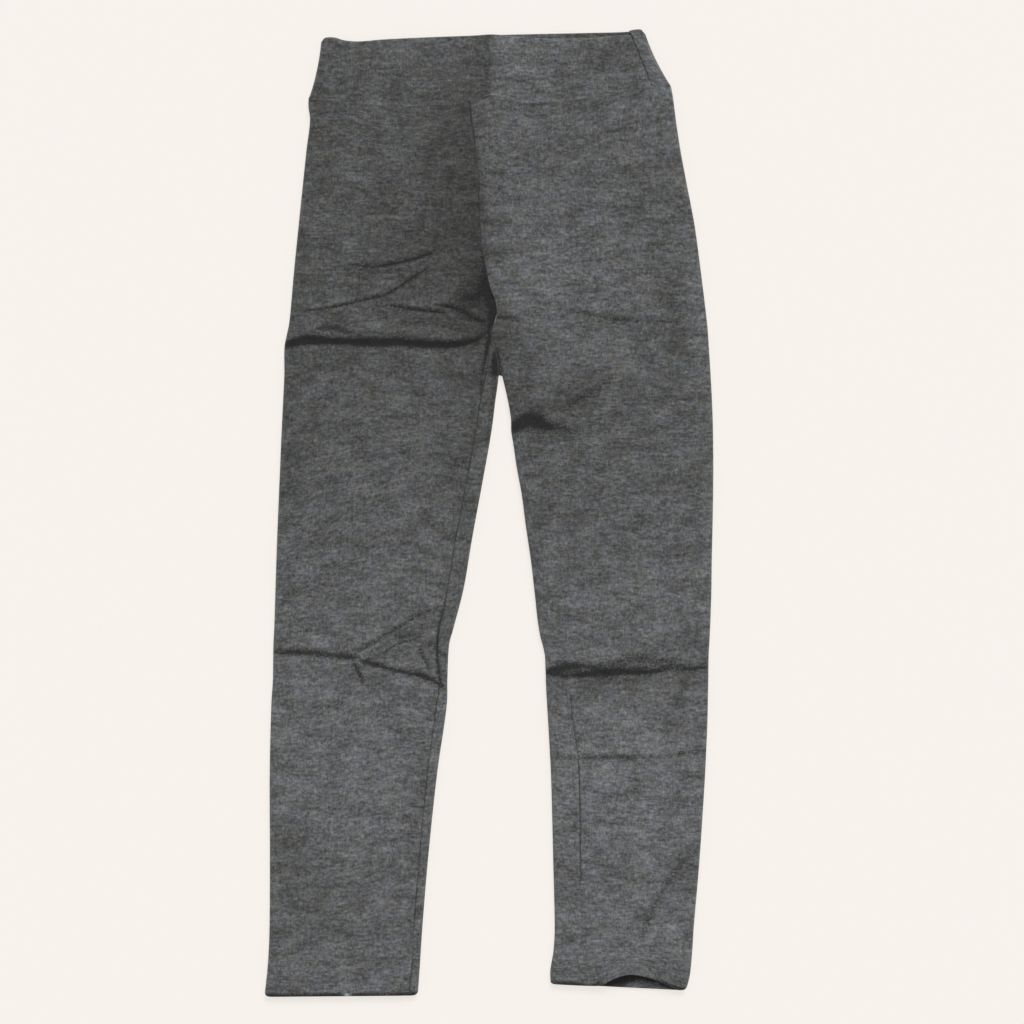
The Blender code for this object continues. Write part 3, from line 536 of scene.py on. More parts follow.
def from_path(path, x, down):
    """Distance from a path, positive on its left as it runs, and the path's half width there."""
    best = np.full(np.broadcast(x, down).shape, np.inf)
    off, half = np.zeros_like(best), np.zeros_like(best)
    for a, b in zip(path, path[1:]):
        run, drop = b.x - a.x, b.down - a.down
        t = np.clip(((x - a.x) * run + (down - a.down) * drop) / (run * run + drop * drop), 0, 1)
        away = np.hypot(x - a.x - t * run, down - a.down - t * drop)
        turn = np.sign((down - a.down) * run - (x - a.x) * drop)
        near = away < best
        best = np.where(near, away, best)
        off = np.where(near, away * turn, off)
        half = np.where(near, mix(a.half, b.half, t), half)
    return off, half


def creased(table, x, down):
    """What the creases add to the height of a face, and the painted shade they put in its colour.
    """
    height = np.zeros(np.broadcast(x, down).shape)
    dark = np.zeros_like(height)
    for crease in table:
        off, half = from_path(crease.path, x, down)
        share = half / max(place.half for place in crease.path)
        ridge = bell(off / half - RIDGE_OFF * crease.side, RIDGE_HALF)
        height += share * (crease.ridge * ridge - crease.depth * bell(off, half))
        # Painted shade: a dark core beside the trough's middle and a faint halo past its edges.
        away = np.abs(off / half - DARK_OFF * crease.side)
        core = np.exp(-DARK_FALL * away ** (3 if crease.dark > DEEP else 2))
        halo = HALO_SHARE * bell(np.maximum(away - 1, 0) * half, HALO_REACH)
        strength = crease.dark * np.minimum(1.0, NARROW_DARK * share)
        dark = np.maximum(dark, strength * np.maximum(core, halo))
    return height, dark


def swollen(x, down):
    """What the soft swellings and dimples add to the height of the front."""
    height = np.zeros(np.broadcast(x, down).shape)
    for swell in SWELLS:
        turn = math.radians(swell.turn)
        dx, dy = x - swell.x, down - swell.down
        across = (dx * math.cos(turn) + dy * math.sin(turn)) / swell.across
        along = (dy * math.cos(turn) - dx * math.sin(turn)) / swell.along
        height += swell.height * np.exp(-(across ** 2 + along ** 2))
    return height


def rippled(x, down):
    """The slight unevenness of cloth that has been folded and laid out again, at three sizes."""
    slow = (np.sin(x / 23 + 1.3 * np.sin(down / 61) + 0.4)
            * np.sin(down / 37 + 0.8 * np.sin(x / 47)))
    quick = np.sin(x / 11 - down / 29 + 1.7)
    quick *= np.sin(down / 14 + x / 53 + 0.9 * np.sin(down / 71))
    fine = np.sin(down / 6.1 + 1.4 * np.sin(x / 19)) * np.sin(x / 31 + down / 97 + 2.0)
    return 0.16 * slow + 0.12 * quick + 0.05 * fine


def painted_light_and_tone_at(x, down):
    """How much lighter or darker each place is painted than the rest: painted light and shade, and
    tone.
    """
    return sum(tone.light * np.exp(-((x - tone.x) / tone.across) ** 2
                                   - ((down - tone.down) / tone.along) ** 2) for tone in PAINTED_LIGHT_AND_TONES)


def parted(x, down):
    """Painted shade on the right half beside the middle and painted light on the left. On the
    waistband the change is at its own soft fold."""
    off = x - np.where(down < BAND_DEPTH, BAND_MIDDLE, column(CENTRE, "front", down))
    tone, reach = (np.where(off < 0, *pair) for pair in (PARTED_PAINTED_LIGHT, PARTED_REACH))
    return tone * np.exp(-np.abs(off) / reach) * ease((PARTED_TO - down) / PARTED_FADE)


def seam_light(x, down):
    """The painted highlight on the waistband's side of the waist seam, and the painted shade below
    it.
    """
    above = line_at(WAIST_SEAM, x) - down
    uneven = 0.88 + 0.12 * np.sin(x / 6.5 + 1.6 * np.sin(x / 17))
    light = straight(WAIST_GLINTS, x) * bell(above - 0.9, 1.1)
    return uneven * (light - 0.08 * bell(above + 1.6, 1.3))


def tuft(x):
    return bell(x - HEM_TUFT, TUFT_WIDTH)


def pulled(x, down):
    """How far along its wales the knit was pulled at each place, so that its courses lean."""
    moved = 0.0
    for pull in PULLS:
        across = np.clip((x - pull.x) / pull.width, -1.0, 1.0)
        ramp = across - 2 * across ** 3 / 3 + across ** 5 / 5
        slope = math.tan(math.radians(pull.degrees))
        moved = moved + slope * pull.width * ramp * bell(down - pull.down, pull.height)
    return moved


def puckered(along, off):
    """Small gathers beside a seam, along it and away from it."""
    waves = np.sin(along / 1.35 + 1.1 * np.sin(along / 7.7)) * (0.6 + 0.4 * np.sin(along / 13.1))
    return 0.16 * waves * bell(off - 3.0, 4.0)


def dip(off):
    """How far the outer face dips at a distance from a cut edge."""
    return EDGE_DROP * bell(off, EDGE_REACH)


def fold_round(off, wall):
    """How far both faces close in at a distance from a folded edge, to make it round."""
    reach = wall / 2
    share = np.clip(off / reach, 0, 1)
    return reach * (1 - np.sqrt(np.clip(1 - (1 - share) ** 2, 0.02, 1)))


def both_faces(path, distance, step, wall):
    """Points of a path at distances along it, and those behind them on the inner face."""
    x, height = path(distance)
    next_x, next_height = path(distance + step)
    across, up = (next_x - x) / step, (next_height - height) / step
    length = np.hypot(across, up)
    behind = np.stack([x + wall * up / length, height - wall * across / length])
    return np.stack([x, height]), behind


def rolled_edge(centre, side, height, wall):
    """Both faces of a rolled edge, from its top round to its foot."""
    angles = math.pi * (0.5 - np.arange(1, ROLL_COLUMNS + 1) / ROLL_COLUMNS)[None, :]
    radius = height / 2
    return [np.stack([centre + side * reach * np.cos(angles), radius + reach * np.sin(angles)])
            for reach in (radius, radius - wall)]


def joined(*parts):
    """The outer and the inner face of a whole row, from those of its parts."""
    return [np.concatenate(faces, axis=2) for faces in zip(*parts)]


def along_row(face):
    """Distance of each point of a face from the row's first cut edge."""
    steps = np.hypot(np.diff(face[0], axis=1), np.diff(face[1], axis=1))
    return np.hstack([np.zeros((len(steps), 1)), np.cumsum(steps, axis=1)])


def moved_apart(outer, inner, outward, close):
    """Both faces with the outer one moved outwards, and both closed in at a folded edge."""
    normal = outer - inner
    normal /= np.maximum(np.hypot(normal[0], normal[1]), 1e-6)
    return outer + normal * (outward - close), inner + normal * close


def placed(faces, down, side=1):
    """Both faces as one array (2, rows, columns, [x, down, height])."""
    return np.stack([np.stack([side * face[0], down, face[1]], axis=-1) for face in faces])


class Leg:
    """One leg's panel. Its rows run from the front cut edge out to the rolled outer edge, across
    the back, and below the crotch round the inner edge to the inseam on the front."""

    def __init__(self, side, stations, table, hem_rise, seam):
        self.side, self.stations, self.creases = side, stations, table
        self.hem_rise, self.seam = hem_rise, seam
        self.hem = stations[-1].down
        self.turn_top = self.hem - HEM_TURN
        self.rows = self.row_places()[:, None]

    def row_places(self):
        """Distances down of the rows: closer together at creases, seams and the hem."""
        at = [BAND_DEPTH]
        sharp = [place.down for crease in self.creases for place in crease.path
                 if crease.depth > FINE_DEPTH]
        sharp += [CROTCH - 15, CROTCH, CROTCH + 6]
        while at[-1] < self.hem:
            nearest = min(abs(at[-1] - down) for down in sharp)
            coarse = float(ease((nearest - FINE_REACH) / FINE_FADE))
            at.append(at[-1] + mix(FINE_STEP, ROW_STEP, coarse))
        found = [down for down in at if down < self.hem - 6 and abs(down - self.turn_top) > 5]
        for start, offsets in ((BAND_DEPTH, EDGE_ROWS), (self.turn_top, TURN_ROWS),
                               (CROTCH, CROTCH_ROWS),
                               (self.hem, (0, *(-off for off in EDGE_ROWS)))):
            found += [start + off for off in offsets]
        found = sorted(set(round(float(down), 3) for down in found))
        kept = found[:1]
        for down in found[1:]:
            if down - kept[-1] > ROW_GAP:
                kept.append(down)
        return np.array(kept)

    def at(self, name):
        return column(self.stations, name, self.rows)

    def lie(self, across):
        """Height of the front face away from its rolled edges."""
        x, down = self.side * across, self.rows
        ripple = rippled(x, down)
        low = LIE + creased(self.creases, x, down)[0] + swollen(x, down) + ripple - LOWEST_FRONT
        low = np.where(low > SETTLE, low, SETTLE * np.exp(np.minimum(low - SETTLE, 0) / SETTLE))
        near_waist = ease(1 - (down - BAND_DEPTH) / WAIST_BLEND)
        height = mix(LOWEST_FRONT + low, LEG_TOP + 0.5 * ripple, near_waist)
        near_hem = ease((down - self.turn_top + HEM_TURN) / HEM_TURN)
        height = mix(height, HEM_HEIGHT + ripple, HEM_PRESS * near_hem)
        if self.side > 0:
            near_arch = ease(1 - (self.hem - down) / ARCH_REACH) ** 1.3
            height = height + ARCH_LIFT * arch_lift(x) * near_arch
        return height

    def rolled(self, across):
        return ROLL + ROLL_SINK * (np.minimum(self.lie(across), LIE + ROLL_RISE) - LIE)

    def corner(self, radius):
        """How far a hem's corner draws an edge in."""
        share = np.clip(1 - (self.hem - self.rows) / radius, 0, 1)
        return radius * (1 - np.sqrt(1 - share ** 2))

    def faces(self):
        """Both faces as one array, with the knit's own coordinate round the leg, the painted shade
        of the outer and the inner face, and the distance down, for each point of the outer one."""
        down = self.rows
        wall = mix(CLOTH, DOUBLED, ease((down - self.turn_top + TURN_STEP) / TURN_STEP))
        outer = self.at("outer") - self.corner(HEM_CORNER)
        outer_height = self.rolled(outer)
        outer_start = outer - outer_height / 2
        closed = down >= CROTCH
        turned = ease(1 - (CROTCH - down) / TURN_IN)
        gap = mix(SEAM_GAP / 2, -PRESSED, turned)
        front_edge, back_edge = (self.side * column(CENTRE, name, down) + gap
                                 for name in ("front", "back"))
        inner = self.at("inner") + self.corner(INNER_CORNER if self.side > 0 else HEM_CORNER)
        inner = np.where(down > PARTING, inner, front_edge)
        back = np.where(closed, inner, back_edge)

        inner_height = mix(self.lie(inner), self.rolled(inner), turned)
        inner_height = mix(inner_height, np.maximum(inner_height, INNER_ROLL), turned)
        radius = inner_height / 2
        turn = math.pi / 2 * turned
        arc = turn * radius
        inner_start = inner + radius * np.sin(turn)
        back_start = back + radius * np.sin(turn)

        def front(distance):
            angle = turn - distance / radius
            bend_x = inner_start - radius * np.sin(angle)
            bend_height = inner_height - radius * (1 - np.cos(angle))
            across = inner_start + distance - arc
            height = mix(outer_height, self.lie(across), ease((outer_start - across) / ROLL_BLEND))
            height = mix(inner_height, height, ease((across - inner_start) / ROLL_BLEND))
            bends = distance < arc
            return np.where(bends, bend_x, across), np.where(bends, bend_height, height)

        def tail(distance):
            angle = distance / radius
            past_x, past_height = front(distance - arc)
            on_back, past = distance < 0, closed & (distance > arc)
            bend_x = np.where(past, past_x, back_start - radius * np.sin(angle))
            bend_height = np.where(past, past_height, radius * (1 - np.cos(angle)))
            return (np.where(on_back, back_start - distance, bend_x),
                    np.where(on_back, 0.0, bend_height))

        inseam = (arc + self.at("inset") - radius) * ease((down - CROTCH) / INSEAM_TURN)
        first = np.where(closed, inseam + SEAM_GAP / 2, 0.0)
        last = np.where(closed, arc + inseam - SEAM_GAP / 2, arc)
        near = np.array(SEAM_STOPS)[None, :]
        even = np.linspace(0, 1, FRONT_COLUMNS)[None, :]
        end = arc + outer_start - inner_start
        stops = np.hstack([first + near, mix(first + SEAM_STOPS[-1] + 1.4, end, even)])

        spread = TAIL_SPREAD * ease((CROTCH - down) / TAIL_REACH)
        spread = spread + TURN_SPREAD * ease((CROTCH - down) / TURN_IN) + TAIL_START
        tail_end = last - SEAM_STOPS[-1] - 1.0
        ways = ((back_start - outer_start, -spread, BACK_COLUMNS),
                (-spread, tail_end, TAIL_COLUMNS))
        tail_stops = [mix(a, b, np.arange(1, n + 1)[None, :] / n) for a, b, n in ways]
        tail_stops = np.hstack([*tail_stops, last - near[:, ::-1]])
        outer_face, inner_face = joined(
            both_faces(front, stops, TINY, wall),
            rolled_edge(outer_start, 1, outer_height, wall),
            both_faces(tail, tail_stops, -TINY, wall))
        n_front = stops.shape[1]
        x = self.side * outer_face[0]
        on_front = np.arange(x.shape[1])[None, :] < n_front + ROLL_COLUMNS // 2
        along = along_row(outer_face)
        knit = along - along[:, n_front - 1:n_front] + outer_start
        from_edge = np.minimum(along, along[:, -1:] - along)

        # Troughs lift the back off the surface, and put painted shade along them.
        on_back = (np.abs(outer_face[1]) < 1e-6) & ~on_front
        lift, back_painted_shade = creased(BACK_CREASES, x, down)
        margin = ease((outer_face[0] - back_start) / BACK_BLEND)
        margin = margin * ease((outer_start - outer_face[0]) / BACK_BLEND)
        outer_face[1] += np.where(on_back, np.maximum(-lift, 0) * margin, 0.0)

        # Dips into the seams, gathers beside them, and the round fold of the hem.
        below = down - BAND_DEPTH
        show = straight(self.seam, down)
        show = show * np.where(closed, ease((down - CROTCH) / INSEAM_TURN), 1 - 0.9 * turned)
        dips = np.maximum(show * dip(from_edge), 0.1 * dip(below))
        gathers = np.where(on_front, show * puckered(down, from_edge) + puckered(x, below), 0.0)
        outer_face, inner_face = moved_apart(
            outer_face, inner_face, gathers - dips, fold_round(self.hem - down, wall))

        # Painted shade: in the creases, in the back's folds, in the seams, in a line below the
        # waist seam and at the hem's fold.
        painted_shade = np.where(on_back, back_painted_shade, creased(self.creases, x, down)[1])
        shade = straight(WAIST_SHADES, x) * (0.75 + 0.25 * np.sin(x / 3.1 + 1.3 * np.sin(x / 11)))
        for dark in (SEAM_PAINTED_SHADE * show * bell(from_edge, SEAM_LINE), shade * bell(below, 1.2),
                     self.hem_shade(x) * ease((outer_face[1] - 2.0) / 1.5)):
            painted_shade = np.maximum(painted_shade, dark)
        bent = self.bent(outer_face[0], x, on_front)
        # Painted shade on the inner face.
        inside = np.full_like(painted_shade, INSIDE_PAINTED_SHADE)
        if self.side > 0:
            # The lining under the lifted edge gets painted shade, darkest close to the edge.
            edge = self.hem - self.rise(outer_face[0]) - arch("back", x)
            inside = LINING_LEAST_SHADE + bell(np.maximum(bent - edge, 0.0), straight(LINING_SHADE_REACH, x), 4)
        return (placed((outer_face, inner_face), bent, self.side), knit, painted_shade, inside,
                np.broadcast_to(down, knit.shape))

    def hem_shade(self, x):
        """How much painted shade the fold at the hem gets: none where the fleece or the lining
        shows.
        """
        shade = HEM_PAINTED_SHADE + 0.25 * np.sin(x / 13 + 0.4) - tuft(x)
        if self.side > 0:
            shade = shade * (1 - 0.9 * arch_lift(x)) * (1 - 0.75 * bell(x - HEM_ARCH[0].x, 7))
        return shade * bell(self.hem - self.rows, HEM_LINE, 4)

    def rise(self, across):
        """How much higher the hem is than at its outer end."""
        outer, inner = self.stations[-1].outer, self.stations[-1].inner
        return self.hem_rise * (outer - across) / (outer - inner)

    def bent(self, across, x, on_front):
        """Distance down after bending a row to the waist seam above or the hem's line below."""
        down = self.rows
        seam = np.where(on_front, line_at(WAIST_SEAM, x), back_waist(x))
        near_waist = ease(1 - (down - BAND_DEPTH) / WAIST_BLEND)
        near_hem = ease(1 - (self.hem - down) / HEM_BLEND)
        rise = self.rise(across)
        if self.side > 0:
            rise = rise + np.where(on_front, np.clip(arch("back", x), 0, None), 0.0)
        return down + (seam - BAND_DEPTH) * near_waist - rise * near_hem


class Band:
    """The waistband, in a front and a back half that meet at the two side seams."""

    def __init__(self, right_leg, left_leg):
        near = np.array(EDGE_ROWS) / BAND_HEIGHT
        even = np.linspace(near[-1] + 0.035, 1 - near[-1] - 0.035, BAND_ROWS)
        self.t = t = np.concatenate([[0.0], near, even, 1 - near[::-1], [1.0]])[:, None]
        arched = 4 * t * (1 - t)
        corners = [leg.side * float(leg.at("outer")[0, 0]) for leg in (right_leg, left_leg)]
        self.foot_corners = corners
        self.right, self.left = (mix(foot, top, t) for foot, top in zip(corners, UPPER_CORNERS))
        self.right, self.left = self.right + BAND_NIP * arched, self.left - BAND_NIP * arched
        self.height = mix(BAND_FOOT, BAND_TOP, t) + BAND_PUFF * arched

    def lie(self, x, down):
        """What the band's soft folds add to the height of its front."""
        return creased(BAND_CREASES, x, down)[0] + 0.9 * rippled(x, down)

    def roll(self, centre, side):
        """A rolled side edge from its top to its foot: both its faces, and its distances down."""
        faces = rolled_edge(centre, side, self.height, DOUBLED)
        x = faces[0][0]
        share = np.linspace(0, 1, ROLL_COLUMNS)[None, :]
        edge = mix(line_at(FRONT_EDGE, x), line_at(BACK_EDGE, x), ease(share))
        return faces, mix(WAIST_SEAM[0 if side < 0 else -1].down - SEAM_GAP, edge, self.t)

    def flat(self, x):
        """Both faces of the back at x, and its distances down."""
        zero = np.zeros_like(x)
        faces = np.stack([x, zero]), np.stack([x, zero + DOUBLED])
        return faces, mix(back_waist(x) - SEAM_GAP, line_at(BACK_EDGE, x), self.t)

    def side_seam(self, seam):
        return seam_x(seam, mix(seam[1].down, seam[0].down, self.t))

    def stops(self, span):
        """Shares of the way from a side seam to the rolled edge at the other side."""
        near, even = np.array(SEAM_STOPS) / span, np.linspace(5 / span, 1, BAND_COLUMNS)
        return np.concatenate([near, even])[None, :]

    def front(self):
        """From the left side seam over the front, round the right edge and onto the back."""
        roll_foot = self.foot_corners[0] + BAND_FOOT / 2
        share = self.stops(LEFT_SIDE_SEAM[1].x - roll_foot)
        foot = mix(LEFT_SIDE_SEAM[1].x, roll_foot, share)
        start = self.side_seam(LEFT_SIDE_SEAM) - SEAM_GAP / 2
        end = self.right + self.height / 2
        x = mix(start, end, share)
        down = mix(line_at(WAIST_SEAM, foot) - SEAM_GAP, line_at(FRONT_EDGE, x), self.t)
        settled = ease((x - end) / ROLL_BLEND) * ease((start - x) / 9)
        face = self.height + self.lie(x, down) * settled
        rolled, roll_down = self.roll(end, -1)
        stop = self.side_seam(RIGHT_SIDE_SEAM) - SEAM_GAP / 2
        flat, flat_down = self.flat(mix(end, stop, np.array(BACK_STOPS)[None, :]))
        faces = joined((np.stack([x, face]), np.stack([x, face - DOUBLED])), rolled, flat)
        down = np.hstack([down, roll_down, flat_down])
        return self.finished(*faces, down, x.shape[1] + ROLL_COLUMNS // 2, False)

    def back(self):
        """From the right side seam over the back, round the left edge and onto the front."""
        start = self.side_seam(RIGHT_SIDE_SEAM) + SEAM_GAP / 2
        end = self.left - self.height / 2
        flat, flat_down = self.flat(mix(start, end, self.stops(BAND_SPAN)))
        rolled, roll_down = self.roll(end, 1)
        rolled, roll_down = [face[:, :, -2::-1] for face in rolled], roll_down[:, -2::-1]
        stop = self.side_seam(LEFT_SIDE_SEAM) + SEAM_GAP / 2
        width = end - stop
        even = mix(end, stop + SIDE_STOP, np.linspace(0, 1, 6)[None, :])
        x = np.maximum(np.hstack([even, stop + np.array(SEAM_STOPS)[None, ::-1]]), stop)
        foot_x = mix(LEFT_SIDE_SEAM[1].x, self.foot_corners[1] - BAND_FOOT / 2, (x - stop) / width)
        down = mix(line_at(WAIST_SEAM, foot_x) - SEAM_GAP, line_at(BACK_EDGE, x), self.t)
        skew = seam_x(LEFT_SIDE_SEAM, down[:, -1:]) - self.side_seam(LEFT_SIDE_SEAM)
        x = x + skew * (end - x) / width
        face = self.height + 0 * x
        faces = joined(flat, rolled, (np.stack([x, face]), np.stack([x, face - DOUBLED])))
        down = np.hstack([flat_down, roll_down, down])
        return self.finished(*faces, down, flat_down.shape[1] + ROLL_COLUMNS // 2, True)

    def finished(self, outer, inner, down, turn, back_first):
        """Both faces with their seams dipped in, the ridge raised and the upper edge round, and
        their painted shade.
        """
        columns = np.arange(outer.shape[2])[None, :]
        on_front = columns >= turn if back_first else columns < turn
        along = along_row(outer)
        from_edge = np.minimum(along, along[:, -1:] - along)
        from_seam = self.t * BAND_HEIGHT
        middle = slice(BAND_COLUMNS // 2, BAND_COLUMNS // 2 + 1)
        knit = along - along[:, middle] + (1 if back_first else -1) * outer[0][:, middle]
        # Painted shade in the waistband's creases and seams.
        painted_shade = creased(BAND_CREASES, outer[0], down)[1] * on_front
        broken = 0.88 + 0.12 * np.sin(down / 1.4 + 1.2 * np.sin(down / 5))
        dark = BAND_SEAM_PAINTED_SHADE * broken * bell(from_edge, BAND_SEAM_LINE)
        painted_shade = np.maximum(painted_shade, dark)
        ridge = SEAM_RIDGE * (1 - 0.8 * ease((outer[0] - 30) / 40)) * bell(from_seam - 2.2, 1.4)
        gathers = puckered(down, from_edge) + 0.6 * puckered(outer[0], from_seam)
        outward = np.where(on_front, ridge + gathers, 0.0)
        outward = outward - np.maximum(0.2 * dip(from_edge), 0.06 * dip(from_seam))
        faces = moved_apart(outer, inner, outward, fold_round((1 - self.t) * BAND_HEIGHT, DOUBLED))
        # Painted shade on the inner face.
        inside = np.full_like(painted_shade, BAND_INSIDE_PAINTED_SHADE)
        return placed(faces, down), knit, painted_shade, inside, down


# ---------------------------------------------------------------- the pieces as meshes

def knit_piece(name, faces, knit, painted_shade, inside, down, flip, materials, lined_to=0.0):
    """One piece of cloth: a wall lofted through its rows of both faces, closed at its cut edges.
    The inner face has the lining down to lined_to."""
    rows, columns = knit.shape
    places = faces.reshape(-1, 3)
    verts = np.stack([places[:, 0], LENGTH / 2 - places[:, 1], places[:, 2]], axis=1) * MM
    outer = np.arange(rows * columns).reshape(rows, columns)
    inner = outer + rows * columns

    def strip(a, b):
        return np.stack([a[:-1], a[1:], b[1:], b[:-1]], axis=-1)

    def grid(index):
        quads = [index[:-1, :-1], index[:-1, 1:], index[1:, 1:], index[1:, :-1]]
        return np.stack(quads, axis=-1).reshape(-1, 4)

    lined = (down[1:, :-1] <= lined_to + 0.01).reshape(-1)
    quads = [grid(outer), grid(inner)[:, ::-1],
             strip(outer[:, 0], inner[:, 0]), strip(outer[:, -1], inner[:, -1])[:, ::-1],
             strip(outer[0], inner[0])[:, ::-1], strip(outer[-1], inner[-1])]
    finish = np.zeros(sum(len(part) for part in quads), np.int32)
    finish[len(quads[0]):len(quads[0]) + len(lined)] = lined
    quads = np.concatenate(quads)
    if flip:
        quads = quads[:, ::-1]
    mesh = bpy.data.meshes.new(name + "_cloth")
    mesh.from_pydata(verts.tolist(), [], quads.tolist())
    for material in materials:
        mesh.materials.append(material)
    mesh.polygons.foreach_set("material_index", finish)

    x, drop, height = np.moveaxis(faces[0], -1, 0)
    corner = np.empty(len(mesh.loops), np.int32)
    mesh.loops.foreach_get("vertex_index", corner)
    courses = np.stack([knit, down + pulled(x, drop)], axis=-1).reshape(-1, 2) * MM
    courses = courses + CUT_FROM[name]
    layer = mesh.uv_layers.new(name="courses")
    layer.data.foreach_set("uv", np.tile(courses, (2, 1))[corner].ravel().astype(np.float32))
    # Painted light and painted shade with uneven tone of the knit, a painted highlight along the
    # waist seam with painted shade below it, and the light fleece showing at the right hem.
    tone = painted_light_and_tone_at(x, drop) + parted(x, drop)
    tone += np.where(height > LOWEST_FRONT, seam_light(x, drop), 0.0)
    tone += TUFT_LIGHT * tuft(x) * bell(drop - LENGTH + 1, TUFT_DEPTH)
    # The crease attribute holds painted shade, of the outer face and then of the inner one.
    for key, values in (("crease", (painted_shade, inside)), ("tone", (tone, tone))):
        attribute = mesh.attributes.new(key, "FLOAT", "POINT")
        attribute.data.foreach_set("value", np.stack(values).ravel().astype(np.float32))
    mesh.shade_smooth()
    mesh.set_sharp_from_angle(angle=SHARP_TURN)
    piece = bpy.data.objects.new(name + "_cloth", mesh)
    bpy.context.collection.objects.link(piece)
    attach(piece, "root")
    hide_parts(name)
    name + "_knit"
    return piece


# ---------------------------------------------------------------- finishes

# Grains of darker and lighter yarn: their size along the courses and down, and how much each
# kind counts.
Grain = namedtuple("Grain", "along down detail shift share")
GRAINS = rows_of(
    Grain,
    (24, 6, 1, 83, 0.52), (9, 3.4, 2, 3, 0.68), (4.4, 2.3, 0, 31, 0.58), (2.3, 7.5, 1, 41, 0.42),
    (2.3, 3.6, 0, 57, 0.28), (1.6, 2.0, 0, 19, 0.57),
)
WALE = 1.3           # from one column of loops to the next
COURSE = 1.1         # from one row of loops to the next
LINT_APART = 62      # between specks of lint, about
LINT_RARE = 0.62     # a place for a speck has one where its random shade is above this
LINT_SIZE = 0.014    # radius of a speck, as a share of the distance between them
LINT = (0.55, 0.55, 0.54, 1)
WARM, COOL = (1.015, 1, 0.935), (0.97, 1, 1.05)  # tints of the lighter yarn
COOL_BETWEEN = (0.35, 0.65)      # noise between these goes from the one to the other
COOL_TONE = 1.4      # painted light and lighter tone look cooler by this much of their strength
WARM_CREASE = 0.6    # and painted shade warmer by this much of its darkness
YARN_TONE = 0.45     # the lighter yarn's share grows by this much of the painted light and tone
YARN_POWER = 1.5     # raises that share, so that dark yarn prevails
LIGHT_TONE = 1.2     # the light given back grows by e to this much of the painted light and tone
RAGGED_TO = 1.15     # painted shade no darker than this has ragged edges
DARK_BETWEEN = (0.12, 0.95)      # painted shade between these goes from hardly seen to solid
TUFTED = 0.75        # this share of the painted shade breaks up into tufts, and the rest is even


class Signal:
    """What a socket puts out. Sums and products of signals are made with Math nodes."""

    def __init__(self, tree, socket):
        self.tree, self.socket = tree, socket

    def maths(self, operation, *values):
        """The result of a Math node with these inputs, which are signals or numbers."""
        return signal(self.tree, "ShaderNodeMath", dict(enumerate(values)), operation=operation)

    def __add__(self, other):
        return self.maths("ADD", self, other)

    def __sub__(self, other):
        return self.maths("SUBTRACT", self, other)

    def __rsub__(self, other):
        return self.maths("SUBTRACT", other, self)

    def __mul__(self, other):
        return self.maths("MULTIPLY", self, other)


def fed(tree, node, inputs):
    """The node, with its inputs linked to signals or set to values."""
    for key, value in inputs.items():
        if isinstance(value, Signal):
            tree.links.new(value.socket, node.inputs[key])
        else:
            node.inputs[key].default_value = value
    return node


def signal(tree, kind, inputs, output=0, **settings):
    """What a new node puts out."""
    node = tree.nodes.new(kind)
    for key, value in settings.items():
        setattr(node, key, value)
    return Signal(tree, fed(tree, node, inputs).outputs[output])


def scaled(tree, vector, size, shift=0.0):
    """The vector in units of a size in each direction."""
    return signal(tree, "ShaderNodeMapping", {
        "Scale": [1 / s for s in size], "Location": (shift, shift * 0.7, shift * 1.3),
        "Vector": vector}, vector_type="POINT")


def noise(tree, vector, size, detail, rough, shift=0.0):
    """Noise whose grains have a size in each direction."""
    return signal(tree, "ShaderNodeTexNoise", {
        "Scale": 1.0, "Detail": detail, "Roughness": rough,
        "Vector": scaled(tree, vector, size, shift)})


def between(tree, ends, value, way="LINEAR"):
    """0 where the value is at the first of two ends, and 1 at the other."""
    return signal(tree, "ShaderNodeMapRange", {
        "From Min": ends[0], "From Max": ends[1], "Value": value}, interpolation_type=way)


def blended(tree, share, first, second):
    """A colour between two others."""
    return signal(tree, "ShaderNodeMix", {0: share, 6: first, 7: second}, 2,
                  data_type="RGBA", clamp_factor=True)


def group_tree(name, inputs, outputs):
    """A shader node group with numbers for its inputs beside its vector, and numbers out."""
    tree = bpy.data.node_groups.new(name, "ShaderNodeTree")
    tree.interface.new_socket(name="Vector", in_out="INPUT", socket_type="NodeSocketVector")
    for label in inputs:
        item = tree.interface.new_socket(name=label, in_out="INPUT", socket_type="NodeSocketFloat")
        item.default_value = 1.0
    for label in outputs:
        tree.interface.new_socket(name=label, in_out="OUTPUT", socket_type="NodeSocketFloat")
    given, out = tree.nodes.new("NodeGroupInput"), tree.nodes.new("NodeGroupOutput")
    return tree, {socket.name: Signal(tree, socket) for socket in given.outputs}, out


def melange_group():
    """Short flecks of darker and lighter yarn that lie along the courses, on soft mottling.
    The vector is in millimetres, along the courses and down."""
    tree, given, out = group_tree(
        "melange yarn", ("Flecks", "Mottling"), ("Yarn", "Cool", "Tufts", "Lint"))
    vector = given["Vector"]
    flecks = 0.0
    for grain in GRAINS:
        soft = noise(tree, vector, (grain.along, grain.down, 1), grain.detail, 0.6, grain.shift)
        flecks = (soft - 0.5) * grain.share + flecks
    mottling = (noise(tree, vector, (26, 17, 1), 1.0, 0.5, 11) - 0.5) * given["Mottling"]
    near = signal(tree, "ShaderNodeTexVoronoi", {
        "Scale": 1.0, "Vector": scaled(tree, vector, (LINT_APART, LINT_APART, 1))}, feature="F1")
    rare = Signal(tree, near.socket.node.outputs["Color"])
    fed(tree, out, {
        "Yarn": flecks * given["Flecks"] + mottling,
        "Cool": noise(tree, vector, (15, 11, 1), 1.0, 0.6, 71),
        "Tufts": noise(tree, vector, (2.2, 1.9, 1), 1.0, 0.6, 97),
        "Lint": rare.maths("GREATER_THAN", rare, LINT_RARE)
                * near.maths("LESS_THAN", near, LINT_SIZE)})
    return tree


